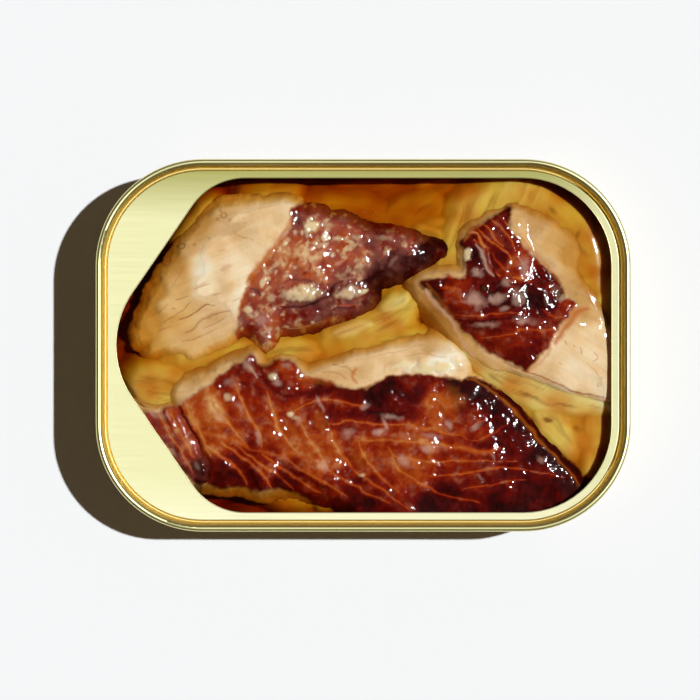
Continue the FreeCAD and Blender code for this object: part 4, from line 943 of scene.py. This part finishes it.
# Pale flakes and shreds that lie under the oil
sunkenBed = {
    "seed": 90, "pitch": 0.36, "wander": 0.6, "wanderMm": 4.5, "sway": 0.24, "swayMm": 6.0,
    "streaks": 0.18, "streakMm": (14.0, 2.0), "streakAngle": 15, "slope": 0.6,
    "grain": 0.45, "grainMm": (16.0, 1.3), "grainSway": 0.3, "veins": 0.3, "veinMm": (9.0, 0.7),
    "veinEdge": (0.15, 0.6), "brow": 0.7, "stainEdge": (0.5, 0.8), "floorGap": 0.4,
    # The deepest values, along the bottom edge, the top edge and under the left lid, are set from how dark
    # the oil is there, so the dark path also paints the shade that the lid and the lower fillet cast.
    "depths": [  # how far below the oil the bed lies around each place
        (-50, 4, 18), (-48, -3, 14), (-46, 0, 11), (-44, -3, 8.5), (-42, -1.5, 5), (-40, -3, 4),
        (-36, -3, 3),
        (-48, 12, 18), (-44, 19, 18), (-38, 27, 18), (-30, 31, 18), (-49, -8, 12), (-44, -8, 2.8),
        (-20, 33, 13), (-10, 33, 11), (-10, 29.5, 9), (0, 33, 11), (0, 29, 10), (8, 31, 10), (5, 27.5, 9),
        (10, 26, 6), (14, 23, 4), (15, 30, 10), (20, 33, 9), (-18, 29.5, 6), (-25, 30, 13), (-5, 27, 8),
        (24, 28, 2.4), (30, 33.5, 13), (36, 29, 2.6), (40, 31, 10), (46, 27, 8), (50, 20, 2.4),
        (51, 10, 2.2),
        (51, 0, 2.2), (47, 12, 3.4), (48, 6, 3), (45, 20, 3.4), (-28, -1.5, 4), (-22, 1, 4), (-16, -1.5, 3),
        (-12, 1, 4.4), (-5, 2, 3), (0, 3, 2.2), (5, 5, 4), (8, 8, 2.4), (12, 10.5, 4), (14, 3, 5.5),
        (14, 17, 3), (10, 12, 4.5), (3, 11, 5), (20, -1, 4), (22, -5, 3), (27, -8, 2.6), (30, -11, 3.5),
        (34, -13, 3), (38, -17, 2.5), (41, -18, 1.6), (44, -16, 3), (47, -19, 2.5), (47, -24, 3),
        (44, -27, 8), (50, -24, 6), (50, -14, 2.4), (51.5, -20, 2.4), (40, -24, 6), (42, -30, 12),
        (-32, -28.5, 11),
        (-26, -30, 15), (-20, -30.5, 12), (-20, -33, 18), (-12, -31, 11), (-8, -31, 10), (-2, -31, 12),
        (-5, -33.5, 18), (3, -33.5, 18), (10, -33, 18), (-30, -31, 18), (16, -34, 18), (28, -34, 18)],
    "flakes": [  # top below the oil, how softly the edge falls away, grain angle, outline
        (-2.0, 1.6, -10, [(-47, -7.5), (-44.5, -5.2), (-41, -4.6), (-37.5, -5.6), (-35.3, -8),
                          (-36, -11.5), (-38, -12.6), (-42, -13), (-45.5, -11.5)]),
        (-3.6, 1.5, 10, [(-23.5, 28.6), (-22, 30.4), (-18, 31.2), (-14.5, 30.6), (-15.5, 28.4),
                         (-19, 27.8)]),
        (-3.6, 0.9, 55, [(-31.1, 29.2), (-33.4, 26.8), (-36.4, 22.6), (-37, 20.4), (-35.4, 21.8),
                         (-33, 25.2)]),
        (-6.0, 2.2, -8, [(-13, 28.5), (-8, 29.8), (0, 29.2), (6, 27), (9, 24.5), (4, 24.8),
                         (-3, 26.5), (-9, 27.6)]),
        (-5.4, 2.4, 40, [(5, 26.5), (10, 29.5), (15, 30), (16.5, 26), (17, 22), (14, 21.5), (10, 24)]),
        (-3.0, 1.2, -20, [(10.4, 22.6), (12, 23.8), (15.6, 22.4), (16, 20.6), (13, 21)]),
        (-2.2, 2.2, 70, [(16.2, 18.5), (17, 23.5), (18.5, 27.5), (21.5, 30), (26, 32), (31.5, 32.9),
                         (36, 31.5), (37, 28.5), (30, 26), (24, 22), (22, 16), (18.5, 13.6), (14, 14.6)]),
        (-2.8, 2.2, -50, [(36, 30), (40, 29.4), (44, 26.8), (46.8, 23), (47.4, 18), (45, 15), (41.5, 17),
                          (39, 23)]),
        (-2.0, 2.0, 25, [(-8, 2.8), (-3, 4.4), (2, 6.4), (5, 9.2), (9, 10.4), (11, 8), (9.5, 4.5),
                         (6, 2.2), (0, 1.2), (-6, 1)]),
        (-0.9, 0.7, 25, [(-5.6, 2.6), (-3.4, 3.6), (-0.4, 4.8), (1, 4), (-1.6, 2.6), (-4, 1.8)]),
        (-0.9, 0.7, 35, [(3.4, 7.4), (5.6, 9.4), (8.6, 10), (8.4, 8.4), (5.8, 7.2)]),
        (-2.6, 1.8, -12, [(2, 1.6), (8, 3), (14, 2.4), (18.5, -0.2), (22.5, -3.4), (24, -6), (18, -4),
                          (8, -1.5), (0, -1.5)]),
        (-2.0, 1.2, 5, [(-19.5, -0.8), (-15, 0.4), (-11, 0.2), (-9, -1.6), (-13, -3.2), (-17, -2.6)]),
        (-2.8, 2.0, 20, [(-34, -2), (-28, 0), (-24, 1.8), (-21, 0), (-23, -3), (-28, -5), (-32, -6)]),
        (-0.9, 1.2, -22, [(19, -1.6), (22.5, -4.6), (26.5, -7.4), (31, -10.6), (35.5, -12.7), (41, -13.4),
                          (46, -13.6), (54, -13.6), (54, -9), (44, -8), (36, -5), (30, -2.5), (24, 0)]),
        (-1.2, 0.9, -45, [(35.3, -13.9), (38.6, -13.6), (40.4, -15.5), (43.2, -20.2), (41.8, -22.2),
                          (38.9, -19.8), (35.9, -16.9)]),
        # this pale shallow flake by the right wall stands for a painted reflection band on the oil
        (-2.6, 1.4, -86, [(45, -13.6), (48.4, -13.6), (48.6, -19), (47.6, -24.6), (46, -26.5), (45, -22)]),
        (-5.0, 0.8, -4, [(-20, -29.4), (-15, -29.6), (-10.6, -31), (-12.5, -32.4), (-18, -31.6)]),
        (-4.6, 0.7, 0, [(-9, -30.4), (-4.5, -30.8), (-4.6, -32.2), (-8.8, -32.4)]),
    ],
    "stains": [(12.4, 5.4, 1.9, 1.4, 30, 0.9, 0), (13.6, 4, 1.2, 1.4, 0, 0.7, 0),
        (38, 27.6, 1.8, 0.6, -40, 0.5, 0),
               (43, 22.4, 2.2, 0.7, 60, 0.5, 0), (37.6, -15.4, 1.4, 0.7, -20, 0.8, 0),
               (-12, -4.4, 2, 0.7, 10, 0.6, 0), (43.6, -17, 1.2, 1, 0, 0.5, 0),
               (27, -6.6, 3, 0.4, -34, 0.55, 0), (33.6, -10, 3.4, 0.45, -24, 0.6, 0),
               (41, -12, 3.2, 0.4, -8, 0.5, 0)],
}


def bedSurface(x, y):
    bed = sunkenBed
    seed = bed["seed"]
    wx = x + bed["wander"] * noise(x, y, bed["wanderMm"], seed, 2)
    wy = y + bed["wander"] * noise(x, y, bed["wanderMm"], seed + 21, 2)
    deep = [(placeX, placeY, math.log(depth)) for placeX, placeY, depth in bed["depths"]]
    cloud = noise(x, y, bed["swayMm"], seed + 5, 2)
    streak = fibres(x, y, bed["streakAngle"], *bed["streakMm"], seed + 9)
    height = -np.exp(blendPlaces(wx, wy, deep)) * (1 + bed["sway"] * cloud + bed["streaks"] * streak)
    veined = np.zeros(x.shape)
    for top, fall, angle, outline in bed["flakes"]:
        reach = insideReach(wx, wy, curveThrough(outline, True, 3))
        grain = bed["grain"] * fibres(wx, wy, angle, *bed["grainMm"], seed + int(10 * abs(top)))
        veins = smoothStep(*bed["veinEdge"], fibres(wx, wy, angle, *bed["veinMm"], seed + 17))
        veined = np.maximum(veined, bed["veins"] * veins * smoothStep(0, fall, reach))
        under = np.maximum(bed["brow"] * fall - reach, 0)
        flake = top + grain + bed["grainSway"] * cloud - bed["slope"] * under * under / fall
        height = np.maximum(height, flake)
    stain = np.maximum(patchField(wx, wy, bed["stains"], *bed["stainEdge"], seed + 13)[0], veined)
    path = np.maximum(oilTop(x, y) - tin["oilLevel"] - height, 0)
    seen = height + (1 - oilColour["seenDepth"]) * path
    seen = np.maximum(seen, tin["deepest"] + bed["floorGap"] - tin["oilLevel"])
    return tin["oilLevel"] + seen, {"oilPath": path, "stain": stain}


# Pale flesh steeped in oil: soft, dull and a little see-through, with no gloss of its own
# because the oil lies over it.
steepedFinish = {
    "pale": "#f4f0b4", "warm": "#e2b068", "stain": "#7c3a14", "mottleMm": 6.0, "mottleEdge": (0.35, 0.7),
    "shredMm": 2.2, "shredStrength": 0.2, "shredDeepMm": 0.08, "detail": 1.5,
}


def steepedFlakes():
    look = steepedFinish
    material, tree, shader = newMaterial("steepedFlakes", {
        "Roughness": 0.8, "IOR": 1.4, "Specular IOR Level": 0.0, "Subsurface Weight": 0.9,
        "Subsurface Radius": (1.0, 0.7, 0.4), "Subsurface Scale": 1.6 * mm})
    place = addNode(tree, "TexCoord").outputs["Object"]
    mottle = addNode(tree, "TexNoise", {}, {
        "Vector": place, "Scale": 1 / (look["mottleMm"] * mm), "Detail": look["detail"]}).outputs["Fac"]
    low, high = look["mottleEdge"]
    share = addNode(tree, "MapRange", {}, {
        "Value": mottle, "From Min": low, "From Max": high}).outputs["Result"]
    colour = addNode(tree, "Mix", {"data_type": "RGBA"}, {
        0: share, 6: hexColour(look["pale"]), 7: hexColour(look["warm"])}).outputs[2]
    stain = addNode(tree, "Attribute", {"attribute_name": "stain"}).outputs["Fac"]
    colour = addNode(tree, "Mix", {"data_type": "RGBA"}, {
        0: stain, 6: colour, 7: hexColour(look["stain"])}).outputs[2]
    tree.links.new(seenThroughOil(tree, colour), shader.inputs["Base Color"])
    shreds = addNode(tree, "TexNoise", {}, {
        "Vector": place, "Scale": 1 / (look["shredMm"] * mm), "Detail": look["detail"]}).outputs["Fac"]
    bump = addNode(tree, "Bump", {}, {
        "Strength": look["shredStrength"], "Distance": look["shredDeepMm"] * mm, "Height": shreds})
    tree.links.new(bump.outputs[0], shader.inputs["Normal"])
    return material


def sunkenBedPiece(material):
    def keep(x, y):
        return roomReach(x, y, tin["roomInset"]) - tin["wallTaper"]

    margin = 0.2
    high = (oilHigh.x + margin, oilHigh.y + margin)
    low = (-high[0], -high[1])
    made = reliefPiece("sunken_flakes", low, high, sunkenBed["pitch"], keep, bedSurface, tin["deepest"],
                       material)
    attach(made, "root")
    print("sunken flakes made,", len(made.data.polygons), "faces")


# Clear amber oil, mirror smooth. Its surface dips towards the opening's edge and goes on lower
# under the lid, and it climbs a little where it wets the fish.
oilSurface = {
    "fall": 1.2, "fallReach": 2.2, "fishLip": 0.1, "lipReach": 1.1, "pitch": 0.42, "ripple": 0.05,
    "rippleMm": 6.0, "wallLap": 0.04, "ior": 1.47, "roughness": 0.05, "coatRoughness": 0.08, "coatIor": 1.8,
    "bodyAlpha": 0.08, "edgeAlpha": 0.8, "bubbleAlpha": 0.06, "bubbleEdgeAlpha": 0.5,
    "mirrored": (0.035, 0.6),
}


def openingOutline(steps=8):
    # the torn opening: round corners at the right, a blunt point at the left
    inset = tin["openingInset"]
    across = tin["halfLength"] - inset
    up = tin["halfWidth"] - inset
    half = math.radians(tin["pointHalfAngle"])
    pointX = tin["pointGap"] - tin["halfLength"] - tin["pointRadius"] * (1 / math.sin(half) - 1)
    shoulderX = pointX + up / math.tan(half)
    corners = [(across, -up, tin["cornerRadius"] - inset), (across, up, tin["cornerRadius"] - inset),
               (shoulderX, up, tin["shoulderRadius"]), (pointX, 0, tin["pointRadius"]),
               (shoulderX, -up, tin["shoulderRadius"])]
    line = []
    for index, (x, y, radius) in enumerate(corners):
        corner = Vector((x, y))
        toBefore = (Vector(corners[index - 1][:2]) - corner).normalized()
        toAfter = (Vector(corners[(index + 1) % len(corners)][:2]) - corner).normalized()
        halfTurn = toBefore.angle(toAfter) / 2
        middle = corner + (toBefore + toAfter).normalized() * radius / math.sin(halfTurn)
        start = corner + toBefore * radius / math.tan(halfTurn) - middle
        end = corner + toAfter * radius / math.tan(halfTurn) - middle
        sweep = start.angle_signed(end)
        for step in range(steps + 1):
            turn = -sweep * step / steps
            line.append((middle.x + start.x * math.cos(turn) - start.y * math.sin(turn),
                         middle.y + start.x * math.sin(turn) + start.y * math.cos(turn)))
    line.append(line[0])
    return np.array(line)


opening = openingOutline()


def oilTop(x, y):
    # the free surface of the oil
    inward = np.maximum(insideReach(x, y, opening), 0)
    return tin["oilLevel"] - oilSurface["fall"] * np.exp(-inward / oilSurface["fallReach"])


def clearOil(name, tint, bodyAlpha, edgeAlpha):
    look = oilSurface
    material, tree, shader = newMaterial(name, {
        "Base Color": hexColour(tint), "Roughness": look["roughness"], "IOR": look["ior"],
        "Coat Weight": 1.0, "Coat Roughness": look["coatRoughness"], "Coat IOR": look["coatIor"]})
    facing = addNode(tree, "Fresnel", {}, {"IOR": look["ior"]}).outputs[0]
    low, high = look["mirrored"]
    alpha = addNode(tree, "MapRange", {}, {
        "Value": facing, "From Min": low, "From Max": high, "To Min": bodyAlpha,
        "To Max": edgeAlpha}).outputs["Result"]
    tree.links.new(alpha, shader.inputs["Alpha"])
    return material


def oilPiece(material):
    def keep(x, y):
        return roomReach(x, y, tin["roomInset"]) + oilSurface["wallLap"]

    def surface(x, y):
        lift = oilSurface["ripple"] * noise(x, y, oilSurface["rippleMm"], 7, 2)
        for piece in (upperFillet, rightFillet, lowerFillet, looseFlake):
            wetted = smoothStep(-oilSurface["lipReach"], 0.0, fishReach(piece, x, y))
            lift = lift + oilSurface["fishLip"] * wetted
        return oilTop(x, y) + lift, {}

    margin = 0.3
    high = (oilHigh.x + margin, oilHigh.y + margin)
    low = (-high[0], -high[1])
    made = reliefPiece("oil_pool", low, high, oilSurface["pitch"], keep, surface, tin["deepest"], material)
    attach(made, "root")
    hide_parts("oil")
    print("oil made")


# Bubbles that cling to the fish at the surface
bubbles = {
    "shrink": 0.8, "rise": 0.1,  # how much of each radius is used, and how far its middle stands up
    "places": [  # x, y, radius
        (-36.6, 20.2, 0.75), (-28.2, 26.4, 0.8), (-29.4, 25.6, 0.45), (-27, 25.4, 0.4), (-28.9, 27.3, 0.35),
        (-39.5, 16.5, 0.35), (-34.2, 20.4, 0.4), (1.1, 9.4, 0.6), (-12.9, 22.7, 0.42), (24.4, 11.4, 0.6),
        (47.9, -8, 0.6), (48.3, -6.6, 0.35), (-31.2, 21.7, 0.3), (-2, -1.4, 0.3), (0.3, 27.1, 0.25),
        (2.6, 27.1, 0.25), (19, 10.4, 0.35), (25.8, 11, 0.3)],
}


def bubblePiece(material):
    bm = bmesh.new()
    for x, y, radius in bubbles["places"]:
        place = np.array([float(x)]), np.array([float(y)])
        top = oilTop(*place)[0]
        for piece in (upperFillet, rightFillet, lowerFillet):
            top = max(top, fishSurface(piece, *place)[0][0])
        radius = radius * bubbles["shrink"]
        made = bmesh.ops.create_icosphere(bm, subdivisions=3, radius=radius * mm)
        middle = Vector((x, y, top + radius * bubbles["rise"])) * mm
        bmesh.ops.translate(bm, verts=made["verts"], vec=middle)
    mesh = bpy.data.meshes.new("surface_bubbles")
    bm.to_mesh(mesh)
    bm.free()
    made = newObject("surface_bubbles", mesh, material)
    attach(made, "root")
    print("bubbles made")


# Tinplate, rolled, coated with a thin pale gold food lacquer and pressed: satin metal whose
# faint rolling lines along the tin blur what it mirrors. The corner under the seam is given a
# deeper gold and the seam top a paler gold, each with its own roughness. The panel is dished by
# a hair, so its gloss shifts across it; its gold is painted paler towards one long side and
# deeper towards the other, as light and shade.
lacquer = {
    "panel": "#d6d1a0", "panelLitSide": "#dfdab2", "panelShadedSide": "#9a954e", "wall": "#dcc47c", "seam": "#efe8a8",
    "body": "#b0924c", "bodyShade": "#9c7c3a", "panelRoughness": 0.37, "wallRoughness": 0.42,
    "seamRoughness": 0.34, "bodyRoughness": 0.34, "lineMm": 0.35, "lineLengthMm": 14.0, "cloudMm": 25.0,
    "lineGloss": 0.03, "grooveStrength": 0.03, "grooveMm": 0.02, "dishRadius": 1.4, "edgeWire": 0.11,
    "edgeDrop": 0.04, "panelStops": (0.03, 0.16, 0.84, 0.98), "wallBand": (0.1, 0.4), "seamBand": (0.7, 0.3),
}


def goldLacquer(name, first, second, roughness):
    material, tree, shader = newMaterial(name, {"Metallic": 1.0})
    place = addNode(tree, "TexCoord").outputs["Object"]
    stretched = addNode(tree, "Mapping", {}, {
        "Vector": place, "Scale": (lacquer["lineMm"] / lacquer["lineLengthMm"], 1, 1)}).outputs[0]
    lines = addNode(tree, "TexNoise", {}, {
        "Vector": stretched, "Scale": 1 / (lacquer["lineMm"] * mm), "Detail": 3.0}).outputs["Fac"]
    cloud = addNode(tree, "TexNoise", {}, {
        "Vector": place, "Scale": 1 / (lacquer["cloudMm"] * mm), "Detail": 2.0}).outputs["Fac"]
    tone = addNode(tree, "Mix", {"data_type": "RGBA"}, {
        0: cloud, 6: hexColour(first), 7: hexColour(second)}).outputs[2]
    gloss = addNode(tree, "MapRange", {}, {
        "Value": lines, "To Min": roughness - lacquer["lineGloss"],
        "To Max": roughness + lacquer["lineGloss"]}).outputs["Result"]
    return material, tree, shader, place, lines, tone, gloss


def dressTin():
    look = lacquer
    lid, tree, shader, place, lines, tone, gloss = goldLacquer(
        "lidGoldLacquer", look["panel"], look["panel"], look["panelRoughness"])
    parts = addNode(tree, "SeparateXYZ", {}, {0: place})
    # painted light and shade: the panel's gold is paler towards one long side and deeper towards the other
    across = addNode(tree, "MapRange", {}, {
        "Value": parts.outputs["Y"], "From Min": -tin["halfWidth"] * mm,
        "From Max": tin["halfWidth"] * mm}).outputs["Result"]
    shades = [look[name] for name in ("panelLitSide", "panel", "panel", "panelShadedSide")]
    tone = addNode(tree, "ValToRGB", {"stops": list(zip(look["panelStops"], shades))}, {
        0: across}).outputs[0]
    offPanel = addNode(tree, "Math", {"operation": "SUBTRACT"}, {
        0: parts.outputs["Z"], 1: tin["panelTop"] * mm}).outputs[0]
    offPanel = addNode(tree, "Math", {"operation": "ABSOLUTE"}, {0: offPanel}).outputs[0]
    upWall = addNode(tree, "MapRange", {}, {
        "Value": offPanel, "From Min": look["wallBand"][0] * mm,
        "From Max": look["wallBand"][1] * mm}).outputs["Result"]
    tone = addNode(tree, "Mix", {"data_type": "RGBA"}, {
        0: upWall, 6: tone, 7: hexColour(look["wall"])}).outputs[2]
    gloss = addNode(tree, "Mix", {}, {0: upWall, 2: gloss, 3: look["wallRoughness"]}).outputs[0]
    onSeam = addNode(tree, "MapRange", {}, {
        "Value": parts.outputs["Z"], "From Min": (tin["rimTop"] - look["seamBand"][0]) * mm,
        "From Max": (tin["rimTop"] - look["seamBand"][1]) * mm}).outputs["Result"]
    tone = addNode(tree, "Mix", {"data_type": "RGBA"}, {
        0: onSeam, 6: tone, 7: hexColour(look["seam"])}).outputs[2]
    gloss = addNode(tree, "Mix", {}, {0: onSeam, 2: gloss, 3: look["seamRoughness"]}).outputs[0]
    tree.links.new(tone, shader.inputs["Base Color"])
    tree.links.new(gloss, shader.inputs["Roughness"])
    grooves = addNode(tree, "Bump", {}, {
        "Strength": look["grooveStrength"], "Distance": look["grooveMm"] * mm, "Height": lines})
    flat = addNode(tree, "VectorMath", {"operation": "MULTIPLY"}, {0: place, 1: (1, 1, 0)}).outputs[0]
    square = addNode(tree, "VectorMath", {"operation": "DOT_PRODUCT"}, {0: flat, 1: flat}).outputs["Value"]
    dish = addNode(tree, "Bump", {}, {
        "Strength": 1.0, "Distance": 0.5 / look["dishRadius"], "Height": square,
        "Normal": grooves.outputs[0]})
    tree.links.new(dish.outputs[0], shader.inputs["Normal"])

    body, tree, shader, place, lines, tone, gloss = goldLacquer(
        "bodyGoldLacquer", look["body"], look["bodyShade"], look["bodyRoughness"])
    tree.links.new(tone, shader.inputs["Base Color"])
    tree.links.new(gloss, shader.inputs["Roughness"])
    for node, material in (("lid_ring", lid), ("can_body", body)):
        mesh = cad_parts[node].data
        mesh.materials.clear()
        mesh.materials.append(material)
    print("tin dressed")
    return lid


def tornEdge(material):
    # the fine bright burr that the torn scored line leaves round the opening
    line = openingOutline(16)[:-1]
    curve = bpy.data.curves.new("torn_edge", "CURVE")
    curve.dimensions = "3D"
    spline = curve.splines.new("POLY")
    spline.points.add(len(line) - 1)
    for point, (x, y) in zip(spline.points, line):
        point.co = (x * mm, y * mm, (tin["panelTop"] - lacquer["edgeDrop"]) * mm, 1)
    spline.use_cyclic_u = True
    curve.bevel_depth = lacquer["edgeWire"] * mm
    curve.bevel_resolution = 2
    drawn = bpy.data.objects.new("torn_edge_line", curve)
    mesh = bpy.data.meshes.new_from_object(drawn)
    mesh.materials.clear()
    bpy.data.objects.remove(drawn)
    made = newObject("torn_edge", mesh, material)
    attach(made, "root")
    print("torn edge made")


studio = {
    "floor": "#f6f6f6", "keyStrength": 3.40, "keyAngle": 1.0, "keyAzimuth": 15.0, "keyZenith": 24.4,
    "keyColour": (0.938, 0.973, 1.0), "skyColour": (0.9, 0.68, 0.42),
    "glow": [(0.0, 0.07), (0.45, 0.12), (0.75, 0.09), (0.9, 0.03), (1.0, 0.012)],  # by sine of height
    "cameraHeight": 0.8, "viewWidth": 0.1412, "viewX": -2.67, "viewY": -0.95, "sensorWidth": 36,
    "floorHalf": 1.5,
}


def makeStudio():
    bm = bmesh.new()
    bmesh.ops.create_grid(bm, x_segments=1, y_segments=1, size=studio["floorHalf"])
    mesh = bpy.data.meshes.new("floor")
    bm.to_mesh(mesh)
    bm.free()
    material = newMaterial("paleFloor", {
        "Base Color": hexColour(studio["floor"]), "Roughness": 0.9, "Specular IOR Level": 0.1})[0]
    floor = newObject("floor", mesh, material)

    azimuth = math.radians(studio["keyAzimuth"])
    zenith = math.radians(studio["keyZenith"])
    level = Vector((math.cos(azimuth), math.sin(azimuth), 0))
    toKey = level * math.sin(zenith) + Vector((0, 0, math.cos(zenith)))
    lamp = bpy.data.lights.new("key", "SUN")
    lamp.energy = studio["keyStrength"]
    lamp.color = studio["keyColour"]
    lamp.angle = math.radians(studio["keyAngle"])
    key = bpy.data.objects.new("key", lamp)
    key.rotation_euler = toKey.to_track_quat("Z", "Y").to_euler()
    bpy.context.scene.collection.objects.link(key)

    world = bpy.data.worlds.new("studio")
    world.use_nodes = True
    bpy.context.scene.world = world
    tree = world.node_tree
    way = addNode(tree, "TexCoord").outputs["Generated"]
    height = addNode(tree, "SeparateXYZ", {}, {0: way}).outputs["Z"]
    glow = addNode(tree, "ValToRGB", {"stops": studio["glow"]}, {0: height}).outputs[0]
    tint = addNode(tree, "Mix", {"data_type": "RGBA", "blend_type": "MULTIPLY"}, {
        0: 1.0, 6: glow, 7: (*studio["skyColour"], 1)}).outputs[2]
    tree.links.new(tint, tree.nodes["Background"].inputs["Color"])

    lens = bpy.data.cameras.new("camera")
    lens.sensor_width = studio["sensorWidth"]
    lens.lens = studio["sensorWidth"] * studio["cameraHeight"] / studio["viewWidth"]
    camera = bpy.data.objects.new("camera", lens)
    camera.location = Vector((studio["viewX"], studio["viewY"], tin["rimTop"])) * mm
    camera.location.z += studio["cameraHeight"]
    bpy.context.scene.collection.objects.link(camera)
    bpy.context.scene.camera = camera
    bpy.context.scene.view_settings.view_transform = "Standard"


makeStudio()
lidFinish = dressTin()
oil = clearOil("amberOil", oilColour["tint"], oilSurface["bodyAlpha"], oilSurface["edgeAlpha"])
flesh = wetSalmonFlesh()
sunkenBedPiece(steepedFlakes())
fishPieceFrom("upper_fillet", "fillet_upper", upperFillet, flesh)
fishPieceFrom("right_fillet", "fillet_right", rightFillet, flesh)
fishPieceFrom("lower_fillet", "fillet_lower", lowerFillet, flesh)
fishPieceFrom("loose_dark_flake", "loose_flake", looseFlake, flesh)
oilPiece(oil)
bubblePiece(clearOil("oilBubble", oilColour["bubble"], oilSurface["bubbleAlpha"],
                     oilSurface["bubbleEdgeAlpha"]))
tornEdge(lidFinish)
